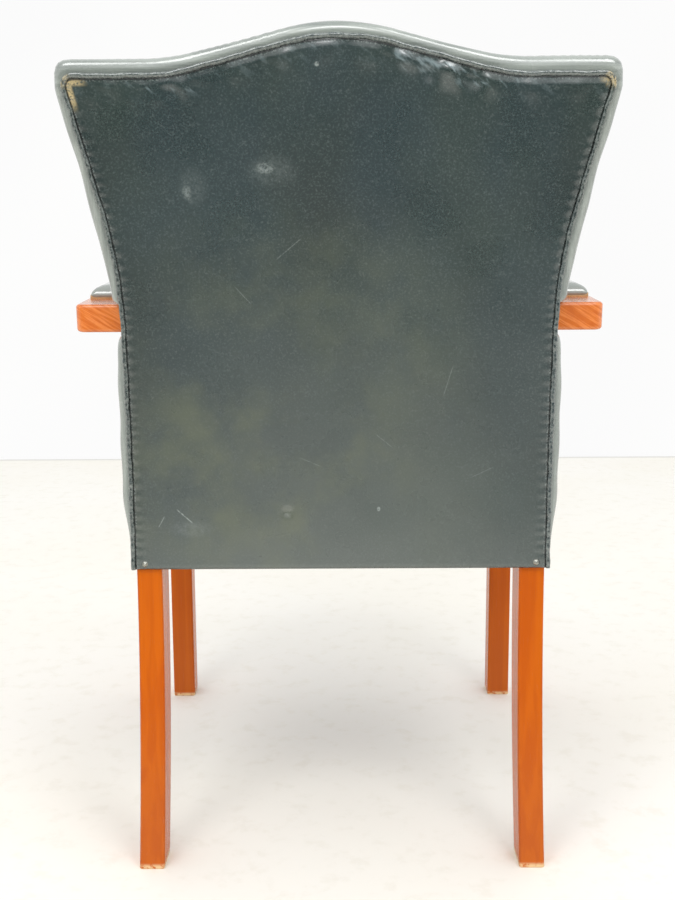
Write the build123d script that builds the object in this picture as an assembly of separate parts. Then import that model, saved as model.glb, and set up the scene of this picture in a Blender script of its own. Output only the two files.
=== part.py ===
from build123d import *
import math
import os

os.makedirs("parts", exist_ok=True)

# Open-armed chair with a buttoned leather back, a crowned leather seat and cherry-stained wooden legs and arms.
# It stands on z = 0 and faces -Y; +X is the sitter's left. While it is modelled, y = 0 is the rear face of
# the outside back at seat height. At the end every piece is moved so that the chair is centred over the origin.

# Seat frame
seat_frame_bottom = 360.0
rail_height = 70.0
rail_thickness = 25.0
seat_frame_depth = 547.0
front_leg_half_span = 282.0
front_leg_width = 35.0
front_leg_depth = 38.0
leg_edge_radius = 2.5
foot_chamfer = 1.5
corner_block_leg = 58.0
corner_block_height = 38.0

# Back frame in rear view
back_half_width = 242.0
post_width = 30.0
flare_start_z = 640.0
flare_angle = 13.2
ear_half_width = 288.0
ear_z = 904.5
ear_corner_radius = 8.0
crest_z = 941.5
crest_radius = 230.0
dip_radius = 216.0
dip_half_span = 204.0
crest_joint_z = 848.0
lower_rail_z = 468.0
lower_rail_height = 42.0

# Back frame in side view
lean_start_z = 430.0
post_depth = 52.0
rear_leg_sweep = 47.0
rear_leg_taper = 8.0
back_lean = 80.0
frame_front_lean = 104.0
cushion_front_lean = 108.0
back_thickness = 112.0

# Upholstery
leather = 2.0
back_wadding = 3.0
border_padding = 12.0
border_rise = 7.0
border_rear_radius = 8.0
border_front_radius = 18.0
seat_padding = 4.0
seat_crown_z = 478.0
seat_crown_radius = 2000.0
seat_crown_y = -330.0
seat_corner_radius = 26.0
seat_edge_radius = 16.0
cushion_skirt_z = 446.0
welt_width = 5.0
welt_rise = 2.0
webbing_width = 50.0
webbing_thickness = 1.5
webbing_margin = 8.0
seat_webbing_count = 6
back_webbing_count = 4
hessian = 1.0
dust_cover = 1.0
dust_cover_margin = 10.0
soft_gap = 0.6
sheet_gap = 0.2

# Deep buttoning of the inside back
button_radius = 8.0
button_height = 5.0
button_pitch_x = 115.0
button_pitch_z = 82.0
lowest_button_z = 545.0
button_rows = 5
tuft_depth = 27.0
tuft_slope = 42.0
pleat_depth = 11.0
pleat_slope = 42.0
twine_radius = 1.0

# Arms
arm_top_z = 668.8
arm_thickness = 32.0
arm_slope = 3.5
arm_flare = 3.0
arm_rear_y = -6.0
arm_length = 440.0
arm_width = 61.0
arm_bow = 3.0
arm_corner_radius = 12.0
arm_edge_radius = 4.0
arm_notch_gap = 3.0
arm_dowel_setback = 8.0
arm_screw_setback = 24.0
pad_start = 85.0
pad_end_margin = 16.0
pad_side_margin = 3.0
pad_board = 5.0
pad_height = 17.0
pad_crown_radius = 52.0
pad_edge_chamfer = 4.0
pad_leather = 1.5

# Arm supports
support_thickness = 30.0
support_distance = 330.0
support_foot_width = 48.0
support_waist = 32.0
support_head_width = 56.0
support_setback = 26.0
support_foot_drop = 8.0

# Fasteners
dowel_radius = 5.0
dowel_length = 50.0
arm_dowel_radius = 6.0
arm_dowel_length = 40.0
screw_radius = 2.2
screw_head_radius = 4.6
screw_head_height = 2.6
block_screw_length = 42.0
support_screw_length = 44.0
arm_screw_length = 56.0
pad_screw_length = 24.0
nail_radius = 4.0
nail_height = 2.4
nail_shank_radius = 0.8
nail_length = 14.0
nail_inset = 11.0
nail_rise = 7.0
fit = 0.1

# Heights of the joints as shares of the rail height, so that crossing dowels and screws miss each other
cross_dowel_shares = (0.20, 0.714)
side_dowel_shares = (0.371, 0.886)
block_screw_share = 0.543
support_screw_shares = (0.30, 0.75)
lower_dowel_shares = (0.26, 0.74)
crest_dowel_shares = (0.26, 0.74)
pad_screw_shares = (0.12, 0.5, 0.88)

reach = 2 * front_leg_half_span
rail_top = seat_frame_bottom + rail_height
leather_bottom = seat_frame_bottom - leather
sky = crest_z + reach / 4
LOW = (Align.CENTER, Align.CENTER, Align.MIN)


def bow(run, rise, distance):
    """How far an arc that leaves its tangent by run over rise has left it after distance."""
    radius = (rise**2 + run**2) / (2 * run)
    return radius - math.sqrt(radius**2 - distance**2)


class SideCurve:
    """A face of the back in side view: swept back at the foot, upright at the seat and leaning back above it."""

    def __init__(self, base, sweep, lean):
        self.base = base
        self.sweep = sweep
        self.lean = lean

    def at(self, z):
        if z < seat_frame_bottom:
            return self.base + bow(self.sweep, seat_frame_bottom, seat_frame_bottom - z)
        if z > lean_start_z:
            return self.base + bow(self.lean, crest_z - lean_start_z, z - lean_start_z)
        return self.base

    def slope(self, z):
        return (self.at(z + leather) - self.at(z - leather)) / (2 * leather)

    def moved(self, shift):
        return SideCurve(self.base + shift, self.sweep, self.lean)

    def edges(self, low, high):
        levels = [low] + [z for z in (seat_frame_bottom, lean_start_z) if low < z < high] + [high]
        drawn = []
        for start, end in zip(levels, levels[1:]):
            points = [(self.at(z), z) for z in (start, (start + end) / 2, end)]
            upright = start >= seat_frame_bottom and end <= lean_start_z
            drawn.append(Line(points[0], points[2]) if upright else ThreePointArc(*points))
        return drawn


outside_rear = SideCurve(0.0, rear_leg_sweep, back_lean)
panel_front = outside_rear.moved(-leather)
frame_rear = panel_front.moved(-back_wadding)
frame_front = SideCurve(frame_rear.base - post_depth, rear_leg_sweep + rear_leg_taper, frame_front_lean)
cushion_front = SideCurve(-back_thickness, rear_leg_sweep, cushion_front_lean)
far_behind = SideCurve(reach, rear_leg_sweep, back_lean)
far_ahead = SideCurve(-2 * reach, rear_leg_sweep, back_lean)
post_front_y = frame_front.base
leg_rear_y = front_leg_depth - seat_frame_depth


def band(front, rear, low, high):
    """The space between two side curves and two levels, across the whole chair."""
    ends = [Line((front.at(z), z), (rear.at(z), z)) for z in (low, high)]
    face = make_face(front.edges(low, high) + rear.edges(low, high) + ends)
    return extrude(Plane.YZ * face, reach, both=True)


def back_outline(grow, bottom, lift=0.0):
    """Rear-view outline of the back: upright sides, flared ears and a camel crest, lifted and grown by margins."""
    angle = math.radians(flare_angle)
    ear = (ear_half_width + lift * math.tan(angle), ear_z + lift)
    top = crest_z + lift
    rise = ear[1] - flare_start_z
    spread = ear[0] - back_half_width
    flare_radius = (rise * math.tan(angle) - spread) / (math.sin(angle) * math.tan(angle) - 1 + math.cos(angle))
    flare_points = [
        (back_half_width + flare_radius * (1 - math.cos(turn)), flare_start_z + flare_radius * math.sin(turn))
        for turn in (0.0, angle / 2, angle)
    ]
    radii = crest_radius + dip_radius
    fall = radii - (crest_z - ear_z)
    crest_angle = math.atan2(dip_half_span, fall) - math.acos(radii / math.hypot(fall, dip_half_span))
    crest_end = (crest_radius * math.sin(crest_angle), top - crest_radius * (1 - math.cos(crest_angle)))
    dip_points = [
        (dip_half_span - dip_radius * math.sin(turn), ear[1] + dip_radius * (1 - math.cos(turn)))
        for turn in (crest_angle, crest_angle / 2, 0.0)
    ]
    side = [
        Line((back_half_width, bottom), flare_points[0]),
        ThreePointArc(*flare_points),
        Line(flare_points[2], ear),
        Line(ear, dip_points[2]),
        ThreePointArc(*dip_points),
        Line(dip_points[0], crest_end),
    ]
    crest = ThreePointArc(crest_end, (0.0, top), (-crest_end[0], crest_end[1]))
    base = Line((back_half_width, bottom), (-back_half_width, bottom))
    face = make_face(side + [mirror(edge, Plane.YZ) for edge in side] + [crest, base])
    ears = [v for v in face.vertices() if v.Y > ear[1] - leather and abs(v.X) > ear[0] - leather]
    face = fillet(ears, ear_corner_radius)
    return offset(face, grow) if grow else face


def slab(grow, front, rear, low, high=sky, lift=0.0):
    """The rear-view outline cut through, kept between two side curves and two levels."""
    outline = Plane.XZ * back_outline(grow, low - reach / 4, lift)
    return extrude(outline, 2 * reach, both=True) & band(front, rear, low, high)


def block(x, y, z):
    """A box from its two limits along each axis."""
    middle = [(low + high) / 2 for low, high in (x, y, z)]
    return Pos(*middle) * Box(x[1] - x[0], y[1] - y[0], z[1] - z[0])


def prism(points, low, high):
    """A plan outline raised from one level to another."""
    return Pos(0, 0, low) * extrude(make_face(Polyline(*points, close=True)), high - low)


def dowel(middle, direction, radius, length, gap=0.0):
    """A dowel centred on a joint, or with a gap the hole for it."""
    return Plane(middle, z_dir=direction) * Cylinder(radius + gap, length + 2 * gap)


def screw(head, direction, length, gap=0.0):
    """A countersunk wood screw driven from its head's face, or with a gap the hole for it."""
    shank = screw_radius + gap
    points = [(0, 0), (screw_head_radius + gap, 0), (shank, screw_head_height)]
    points += [(shank, length - screw_head_height), (0, length + gap)]
    turned = revolve(Plane.XZ * make_face(Polyline(*points, close=True)), Axis.Z)
    if gap:
        turned += Pos(0, 0, -rail_thickness) * Cylinder(screw_head_radius + gap, rail_thickness, align=LOW)
    return Plane(head, z_dir=direction) * turned


def dome(radius, height):
    """A low round head on its flat base."""
    ball = (radius**2 + height**2) / (2 * height)
    return Pos(0, 0, height - ball) * Sphere(ball) & Cylinder(2 * radius, 2 * ball, align=LOW)


def pair(shape):
    """A piece and its mirror image on the other side of the chair."""
    return [shape, mirror(shape, Plane.YZ)]


def pairs(shapes):
    return [twin for shape in shapes for twin in pair(shape)]


def cut(shape, tools):
    """A piece less the tools that reach it."""
    for tool in tools:
        shape = shape - tool
    return shape


# Seat frame: two front legs, four rails, corner blocks, dowels and block screws

def side_x(y):
    """Outer face of the left side rail at a place along the seat."""
    share = (y - post_front_y) / (leg_rear_y - post_front_y)
    return back_half_width + share * (front_leg_half_span - back_half_width)


def frame_plan(grow):
    """Plan of the whole seat frame, grown by a margin."""
    side = [
        (back_half_width, frame_rear.base),
        (back_half_width, post_front_y),
        (front_leg_half_span, leg_rear_y),
        (front_leg_half_span, -seat_frame_depth),
    ]
    outline = make_face(Polyline(*side, *[(-x, y) for x, y in reversed(side)], close=True))
    return offset(outline, grow, kind=Kind.INTERSECTION) if grow else outline


rail_angle = math.degrees(math.atan2(front_leg_half_span - back_half_width, post_front_y - leg_rear_y))
rail_width_x = rail_thickness / math.cos(math.radians(rail_angle))
rail_direction = Vector(math.sin(math.radians(rail_angle)), -math.cos(math.radians(rail_angle)), 0)
rail_outward = Vector(math.cos(math.radians(rail_angle)), math.sin(math.radians(rail_angle)), 0)
leg_inner_x = front_leg_half_span - front_leg_width
front_rail_inner_y = rail_thickness - seat_frame_depth
rear_rail_inner_y = frame_rear.base - rail_thickness
post_inner_x = back_half_width - post_width


def level(share):
    return seat_frame_bottom + share * rail_height


def rail_dowel_set(gap=0.0):
    """Dowels of the left half of the seat frame."""
    found = []
    for share in cross_dowel_shares:
        front = (leg_inner_x, -seat_frame_depth + rail_thickness / 2, level(share))
        rear = (post_inner_x, frame_rear.base - rail_thickness / 2, level(share))
        found += [dowel(spot, (1, 0, 0), dowel_radius, dowel_length, gap) for spot in (front, rear)]
    for share in side_dowel_shares:
        for y in (leg_rear_y, post_front_y):
            spot = (side_x(y) - rail_width_x / 2, y, level(share))
            found.append(dowel(spot, rail_direction, dowel_radius, dowel_length, gap))
    return found


def corner_block(corner, toward_x, toward_y):
    """A glued triangular block in an inner corner of the seat frame."""
    height = level(block_screw_share)
    points = [corner, (corner[0] + toward_x * corner_block_leg, corner[1])]
    points.append((side_x(corner[1] + toward_y * corner_block_leg) - rail_width_x, corner[1] + toward_y * corner_block_leg))
    return prism(points, height - corner_block_height / 2, height + corner_block_height / 2)


def block_screw(corner, toward_x, toward_y, gap=0.0):
    """The screw from a corner block's long face into the leg behind it."""
    along = corner_block_leg / 2
    head = (corner[0] + toward_x * along, corner[1] + toward_y * along, level(block_screw_share))
    return screw(head, (-toward_x, -toward_y, 0), block_screw_length, gap)


front_corner = (side_x(front_rail_inner_y) - rail_width_x, front_rail_inner_y)
rear_corner = (side_x(rear_rail_inner_y) - rail_width_x, rear_rail_inner_y)
rail_dowel_holes = pairs(rail_dowel_set(fit))
block_screws = [block_screw(front_corner, -1, 1), block_screw(rear_corner, -1, -1)]
block_screw_holes = [block_screw(front_corner, -1, 1, fit), block_screw(rear_corner, -1, -1, fit)]

front_leg = block((leg_inner_x, front_leg_half_span), (-seat_frame_depth, leg_rear_y), (0, rail_top))
front_leg = fillet(front_leg.edges().filter_by(Axis.Z), leg_edge_radius)
front_leg = chamfer([e for e in front_leg.edges() if e.center().Z < foot_chamfer], foot_chamfer)
rail_z = (seat_frame_bottom, rail_top)
front_rail = block((-leg_inner_x, leg_inner_x), (-seat_frame_depth, front_rail_inner_y), rail_z)
rear_rail = block((-post_inner_x, post_inner_x), (rear_rail_inner_y, frame_rear.base), rail_z)
side_rail = prism(
    [(side_x(y) - inward, y) for y, inward in (
        (post_front_y, 0), (leg_rear_y, 0), (leg_rear_y, rail_width_x), (post_front_y, rail_width_x)
    )],
    *rail_z,
)

# Back frame: two posts sawn to both outlines, a crest rail and a lower rail

post_ring = slab(0, frame_front, frame_rear, 0, crest_joint_z) - slab(-post_width, far_ahead, far_behind, 0)
rear_post = post_ring.solids().sort_by(Axis.X)[-1]
eased = fillet([e for e in rear_post.edges() if abs(e.tangent_at(0.5).Z) > 0.5], leg_edge_radius)
eased = chamfer([e for e in eased.edges() if e.center().Z < foot_chamfer], foot_chamfer)
show_wood = block((0, reach), (-reach, reach), (0, leather_bottom))
rear_post = (eased & show_wood) + (rear_post - show_wood)
crest_rail = slab(0, frame_front, frame_rear, crest_joint_z)
lower_rail_top = lower_rail_z + lower_rail_height
lower_rail = band(frame_front, frame_front.moved(rail_thickness), lower_rail_z, lower_rail_top)
lower_rail = lower_rail & block((-post_inner_x, post_inner_x), (-reach, reach), (0, sky))


def back_dowel_set(gap=0.0):
    """Dowels of the left half of the back frame."""
    found = []
    for share in lower_dowel_shares:
        z = lower_rail_z + share * lower_rail_height
        spot = (post_inner_x, frame_front.at(z) + rail_thickness / 2, z)
        found.append(dowel(spot, (1, 0, 0), dowel_radius, dowel_length, gap))
    joint = slab(0, frame_front, frame_rear, crest_joint_z - leather, crest_joint_z)
    outer_x = joint.bounding_box().max.X
    middle_y = (frame_front.at(crest_joint_z) + frame_rear.at(crest_joint_z)) / 2
    lean = (math.sin(math.radians(flare_angle)), frame_rear.slope(crest_joint_z), 1)
    for share in crest_dowel_shares:
        spot = (outer_x - share * post_width, middle_y, crest_joint_z)
        found.append(dowel(spot, lean, dowel_radius, dowel_length, gap))
    return found


back_dowel_holes = pairs(back_dowel_set(fit))


# Arms: boards that rise and spread forwards, on supports screwed to the side rails

def arm_x(y, share=0.0):
    """Place across the left arm, from its inner edge at share 0 to its outer edge at share 1."""
    run = max(0.0, post_front_y - y)
    return back_half_width + run * math.tan(math.radians(arm_flare)) + share * arm_width


def arm_plan(margin=0.0, start=0.0, stop=None):
    """Plan of the left arm from its rear end forwards, drawn in by a margin."""
    front = arm_rear_y - (stop or arm_length)
    nose = front + arm_width / 2
    outer = [(arm_x(y, 1.0) + swell, y) for y, swell in ((arm_rear_y, 0), ((arm_rear_y + nose) / 2, arm_bow), (nose, 0))]
    inner = [(arm_x(y), y) for y in (nose, post_front_y, arm_rear_y)]
    face = make_face([
        ThreePointArc(*outer),
        ThreePointArc(outer[2], (arm_x(front, 0.5), front), inner[0]),
        Polyline(*inner),
        Line(inner[2], outer[0]),
    ])
    if margin:
        face = offset(face, -margin)
    keep = Pos(0, arm_rear_y - start - reach / 2) * Rectangle(2 * reach, reach)
    return face & keep if start else face


def on_arm(shape):
    """Tilts a shape drawn on the level top of the arm to the arm's own slope."""
    return Pos(0, arm_rear_y, arm_top_z) * Rot(X=-arm_slope) * Pos(0, -arm_rear_y, 0) * shape


def arm_slice(low, high, margin=0.0, start=0.0, stop=None):
    """A layer of the arm between two heights above its top face."""
    return on_arm(Pos(0, 0, low) * extrude(arm_plan(margin, start, stop), high - low))


arm_blank = extrude(arm_plan(), -arm_thickness)
rear_corner_edge = arm_blank.edges().filter_by(Axis.Z).sort_by(Axis.X)[-2:].sort_by(Axis.Y)[-1]
arm_blank = fillet(rear_corner_edge, arm_corner_radius)
exposed = [
    e for e in arm_blank.edges().filter_by(Axis.Z, reverse=True)
    if e.center().X > arm_x(e.center().Y, 0.4) or e.center().Y < arm_rear_y - arm_length + arm_width
]
arm_blank = fillet(exposed, arm_edge_radius)
arm = on_arm(arm_blank) - rear_post


def arm_support_blank():
    """A sawn support with a waist, drawn in side view and set square to the side rail."""
    foot_z = seat_frame_bottom + support_foot_drop
    head_z = arm_top_z + arm_thickness
    waist_z = (rail_top + head_z) / 2
    front = [
        (support_foot_width / 2, foot_z), (support_foot_width / 2, rail_top),
        (support_waist / 2 - support_setback / 2, waist_z), (support_head_width / 2 - support_setback / 2, head_z),
    ]
    rear = [
        (-support_foot_width / 2, foot_z), (-support_foot_width / 2, rail_top),
        (-support_waist / 2 - support_setback / 2, waist_z), (-support_head_width / 2 - support_setback / 2, head_z),
    ]
    face = make_face([
        Line(front[0], front[1]), ThreePointArc(*front[1:]), Line(front[3], rear[3]),
        ThreePointArc(*rear[:0:-1]), Line(rear[1], rear[0]), Line(rear[0], front[0]),
    ])
    return extrude(Plane.YZ * mirror(face, Plane.YZ), support_thickness)


support_y = arm_rear_y - support_distance
support_spot = Vector(side_x(support_y), support_y, 0)
support_place = Pos(*support_spot) * Rot(Z=rail_angle)
above_arms = on_arm(block((0, reach), (-reach, reach), (-arm_thickness, reach)))
arm_support = support_place * arm_support_blank() - above_arms
support_edges = [e for e in arm_support.edges() if e.center().Z > rail_top and e.length > rail_height]
arm_support = fillet(support_edges, arm_edge_radius)


def support_screw_set(gap=0.0):
    """Two screws through the left side rail into the foot of its arm support."""
    inner = support_spot - rail_outward * rail_thickness
    return [
        screw((inner.X, inner.Y, level(share)), rail_outward, support_screw_length, gap)
        for share in support_screw_shares
    ]


def arm_fixings(gap=0.0):
    """Dowels at both ends of the left arm."""
    slope = math.radians(arm_slope)
    head = support_spot + rail_outward * support_thickness / 2
    head_y = head.Y + support_setback / 2
    under = on_arm(Pos(head.X, head_y, -arm_thickness) * Cylinder(leather, leather)).center()
    rear_y = arm_rear_y - arm_dowel_setback
    rear = on_arm(Pos(back_half_width, rear_y, -arm_thickness / 2) * Sphere(leather)).center()
    return [
        dowel(under, (0, math.sin(slope), math.cos(slope)), arm_dowel_radius, arm_dowel_length, gap),
        dowel(rear, (1, 0, 0), arm_dowel_radius, arm_dowel_length, gap),
    ]


def arm_rear_screw(gap=0.0):
    """The screw from inside the post into the rear end of the left arm."""
    y = arm_rear_y - arm_screw_setback
    spot = on_arm(Pos(back_half_width, y, -arm_thickness / 2) * Sphere(leather)).center()
    return screw((post_inner_x + leather, spot.Y, spot.Z), (1, 0, 0), arm_screw_length, gap)


# Arm pads: a screwed board, a foam crown and a leather cover

def pad_plan(inset):
    return arm_plan(pad_side_margin + inset, pad_start + inset, arm_length - pad_end_margin + pad_side_margin)


def pad_body(inset):
    """The crowned pad as far in as the inset, drawn level on the arm."""
    middle_y = arm_rear_y - (pad_start + arm_length) / 2
    crown = Pos(arm_x(middle_y, 0.5), middle_y, pad_height - pad_crown_radius) * Rot(Z=arm_flare)
    tube = crown * Rot(X=90) * Cylinder(pad_crown_radius - inset, reach)
    body = extrude(pad_plan(inset), pad_height) & tube
    top = [e for e in body.edges() if e.center().Z > pad_board + pad_leather and e.length > pad_edge_chamfer]
    return chamfer(top, pad_edge_chamfer - inset)


pad_filling = pad_body(pad_leather)
arm_pad_cover = on_arm(pad_body(0.0) - pad_filling)
pad_board_solid = pad_filling & block((0, reach), (-reach, reach), (0, pad_board))
arm_pad_foam = on_arm(pad_filling - pad_board_solid)


def pad_screw_set(gap=0.0):
    """Screws that hold the left pad board down on its arm."""
    found = []
    for share in pad_screw_shares:
        y = arm_rear_y - pad_start - share * (arm_length - pad_start)
        spot = on_arm(Pos(arm_x(y, 0.5), y, pad_board) * Sphere(leather)).center()
        slope = math.radians(arm_slope)
        found.append(screw(spot, (0, -math.sin(slope), -math.cos(slope)), pad_screw_length, gap))
    return found


arm_pad_board = cut(on_arm(pad_board_solid), pad_screw_set(fit))
arm = cut(arm, pad_screw_set(fit) + arm_fixings(fit) + [arm_rear_screw(fit)])
arm_support = cut(arm_support, support_screw_set(fit) + arm_fixings(fit)[:1])


# Seat upholstery: webbing, hessian, a crowned foam and a leather cover

def seat_body(inset):
    """The crowned seat as far in as the inset, over and round the seat frame."""
    margin = seat_padding + leather - inset
    step_y = post_front_y - soft_gap - inset
    tongue_x = post_inner_x - soft_gap - inset
    tongue_y = frame_rear.base - soft_gap - inset
    side = [
        (tongue_x, tongue_y), (tongue_x, step_y), (back_half_width + margin, step_y),
        (front_leg_half_span + margin, leg_rear_y), (front_leg_half_span + margin, -seat_frame_depth - margin),
    ]
    body = prism(side + [(-x, y) for x, y in reversed(side)], leather_bottom, seat_crown_z)
    corners = [e for e in body.edges().filter_by(Axis.Z) if e.center().Y < leg_rear_y - leather]
    body = fillet(corners, seat_corner_radius - inset)
    crown_centre = seat_crown_z - seat_crown_radius
    body = body & Pos(0, seat_crown_y, crown_centre) * Sphere(seat_crown_radius - inset)
    brim = [
        e for e in body.edges()
        if e.center().Z > rail_top and e.center().Y < step_y - leather and abs(e.tangent_at(0.5).Z) < 0.5
    ]
    return fillet(brim, seat_edge_radius - inset)


def strips(count, low, high, along):
    """Even strips of webbing across a span, as pairs of limits."""
    pitch = (high - low) / count
    middles = [low + (index + 0.5) * pitch for index in range(count)]
    return [along(middle - webbing_width / 2, middle + webbing_width / 2) for middle in middles]


frame_block = Pos(0, 0, -reach) * extrude(frame_plan(0), reach + rail_top)
posts_plan = [block(x, (post_front_y - sheet_gap, reach), (0, sky)) for x in (
    (post_inner_x - sheet_gap, reach), (-reach, sheet_gap - post_inner_x)
)]
cross_z = rail_top + webbing_thickness + sheet_gap
hessian_z = cross_z + webbing_thickness + sheet_gap
stack_top = hessian_z + hessian


def seat_sheet(bottom, thickness, margin):
    return cut(Pos(0, 0, bottom) * extrude(frame_plan(-margin), thickness), posts_plan)


seat_lengthwise = [
    seat_sheet(rail_top, webbing_thickness, webbing_margin) & piece
    for piece in strips(
        seat_webbing_count, -post_inner_x, post_inner_x, lambda a, b: block((a, b), (-reach, reach), (0, sky))
    )
]
seat_crosswise = [
    seat_sheet(cross_z, webbing_thickness, webbing_margin) & piece
    for piece in strips(
        seat_webbing_count, webbing_margin - seat_frame_depth, post_front_y - sheet_gap,
        lambda a, b: block((-reach, reach), (a, b), (0, sky)),
    )
]
seat_hessian = seat_sheet(hessian_z, hessian, webbing_margin)
hessian_space = Pos(0, 0, rail_top - leather) * extrude(
    frame_plan(sheet_gap - webbing_margin), stack_top + sheet_gap - rail_top + leather
)
foot_spaces = pair(support_place * block(
    (0, support_thickness), (-support_foot_width / 2 - soft_gap, support_foot_width / 2 + soft_gap),
    (0, stack_top + 2 * seat_edge_radius),
))
seat_filling = seat_body(leather)
seat_cover = cut(seat_body(0.0) - seat_filling, [frame_block, hessian_space] + foot_spaces)
seat_foam = cut(seat_filling, [frame_block, hessian_space] + foot_spaces)
dust_sheet = cut(
    Pos(0, 0, seat_frame_bottom - dust_cover) * extrude(frame_plan(-dust_cover_margin), dust_cover),
    posts_plan + pair(block((leg_inner_x - sheet_gap, reach), (-reach, leg_rear_y + sheet_gap), (0, sky))),
)


# Back upholstery: webbing, hessian, a foam block and a buttoned leather cover that wraps the frame

def facing(x, z, inset):
    """A plane on the front of the back cushion whose Z axis points straight into it."""
    face = cushion_front.moved(inset)
    return Plane((x, face.at(z), z), x_dir=(1, 0, 0), z_dir=(0, 1, -face.slope(z)))


def row_z(row):
    return lowest_button_z + row * button_pitch_z


def button_row(row):
    """Places across the back of one row: four buttons, or three between them."""
    count = 4 if row % 2 == 0 else 3
    return [(index - (count - 1) / 2) * button_pitch_x for index in range(count)]


button_spots = [(x, row_z(row)) for row in range(button_rows) for x in button_row(row)]


def pleat_lines():
    """Folds between neighbouring buttons, and from the outer buttons to the edge of the back."""
    lines = []
    for row in range(button_rows - 1):
        for x in button_row(row):
            for step in (-button_pitch_x / 2, button_pitch_x / 2):
                if abs(x + step) <= 1.5 * button_pitch_x:
                    lines.append(((x, row_z(row)), (x + step, row_z(row + 1))))
    for x in button_row(0):
        lines.append(((x, row_z(0)), (x, row_z(0) - button_pitch_z)))
    for x in button_row(button_rows - 1):
        lines.append(((x, row_z(button_rows - 1)), (x, row_z(button_rows - 1) + button_pitch_z)))
    for row in range(0, button_rows, 2):
        edge = button_row(row)[-1]
        for side in (-1, 1):
            lines.append(((side * edge, row_z(row)), (side * (edge + button_pitch_x), row_z(row))))
    return lines


def tuft(x, z, inset):
    """The funnel that a button pulls into the back."""
    wall = math.radians(90 - tuft_slope)
    end = button_radius + leather / 2 + inset * (1 / math.cos(wall) - math.tan(wall))
    mouth = end + (tuft_depth + pleat_depth) * math.tan(wall)
    funnel = Cone(mouth, end, tuft_depth + pleat_depth, align=LOW)
    return facing(x, z, inset) * Pos(0, 0, -pleat_depth) * funnel


def pleat(start, end, inset):
    """The V-shaped fold along a line on the front of the back."""
    slope = math.radians(pleat_slope)
    depth = pleat_depth + inset / math.cos(slope) - inset
    half = (depth + pleat_depth) / math.tan(slope)
    origin = facing(*start, inset)
    target = facing(*end, inset)
    run = target.origin - origin.origin
    plane = Plane(origin.origin, x_dir=origin.z_dir.cross(run), z_dir=run)
    section = make_face(Polyline((0, depth), (half, -pleat_depth), (-half, -pleat_depth), close=True))
    return plane * extrude(section, run.length)


def cushion(inset):
    """The inside back with its wrapped border, as far in as the inset."""
    front = cushion_front.moved(inset)
    rear = panel_front.moved(-inset)
    body = slab(border_padding - inset, front, rear, leather_bottom + inset, lift=border_rise)

    def rim(face_curve):
        return [
            e for e in body.edges()
            if abs(e.center().Y - face_curve.at(e.center().Z)) < leather / 2
            and (abs(e.center().X) > post_inner_x or e.center().Z > ear_z)
            and e.center().Z > leather_bottom + leather + inset
        ]

    body = fillet(rim(front), border_front_radius - inset)
    return fillet(rim(rear), border_rear_radius - inset)


seat_space = seat_body(-soft_gap)
skirt_space = block((-reach, reach), (-reach, post_front_y), (0, cushion_skirt_z))
stack_front = frame_front.moved(-2 * (webbing_thickness + sheet_gap) - hessian - sheet_gap)
core_space = slab(0, stack_front, far_behind, 0)
arm_spaces = pair(arm_slice(-arm_thickness - arm_notch_gap, arm_notch_gap, -arm_notch_gap))
arm_spaces += pair(block(
    (back_half_width, reach), (post_front_y, reach), (arm_top_z - arm_thickness - arm_notch_gap, arm_top_z + arm_notch_gap)
))


def twine(x, z, gap=0.0):
    """The twine that ties a button back to the webbing, or with a gap the hole for it."""
    rod = facing(x, z, 0) * Pos(0, 0, tuft_depth) * Cylinder(twine_radius + gap, back_thickness, align=LOW)
    return rod & slab(0, far_ahead, stack_front, lower_rail_z)


def tufted(inset):
    """The cushion with its funnels, folds and twine holes."""
    tools = [tuft(x, z, inset) for x, z in button_spots]
    tools += [pleat(start, end, inset) for start, end in pleat_lines()]
    tools += [twine(x, z, fit) for x, z in button_spots]
    return cushion(inset) - tools


back_filling = tufted(leather)
wrapped = [core_space, seat_space, skirt_space] + arm_spaces
inside_back_cover = cut(tufted(0.0) - back_filling, wrapped)
back_foam = cut(back_filling, wrapped)
button = dome(button_radius, button_height)
buttons = [facing(x, z, 0) * Pos(0, 0, tuft_depth) * Rot(X=180) * button for x, z in button_spots]
twines = [twine(x, z) for x, z in button_spots]

web_front = frame_front.moved(-webbing_thickness)
cross_rear = web_front.moved(-sheet_gap)
cross_front = cross_rear.moved(-webbing_thickness)
hessian_rear = cross_front.moved(-sheet_gap)
hessian_front = hessian_rear.moved(-hessian)
sheet_bottom = lower_rail_z + webbing_margin
upright_web = slab(-webbing_margin, web_front, frame_front, sheet_bottom)
cross_web = slab(-webbing_margin, cross_front, cross_rear, sheet_bottom)
back_upright = [
    upright_web & piece for piece in strips(
        back_webbing_count, -post_inner_x, post_inner_x, lambda a, b: block((a, b), (-reach, reach), (0, sky))
    )
]
back_crosswise = [
    cross_web & piece for piece in strips(
        back_webbing_count, lower_rail_top, crest_joint_z, lambda a, b: block((-reach, reach), (-reach, reach), (a, b))
    )
]
back_hessian = slab(-webbing_margin, hessian_front, hessian_rear, sheet_bottom)


# Outside back: wadding, a plain leather panel turned in at the foot, a welt round it and two corner nails

def corner_nail(gap=0.0):
    spot = Plane((back_half_width - nail_inset, 0, leather_bottom + nail_rise), z_dir=(0, 1, 0))
    shank = Cylinder(nail_shank_radius + gap, nail_length, align=(Align.CENTER, Align.CENTER, Align.MAX))
    return spot * (shank if gap else shank + dome(nail_radius, nail_height))


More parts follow.
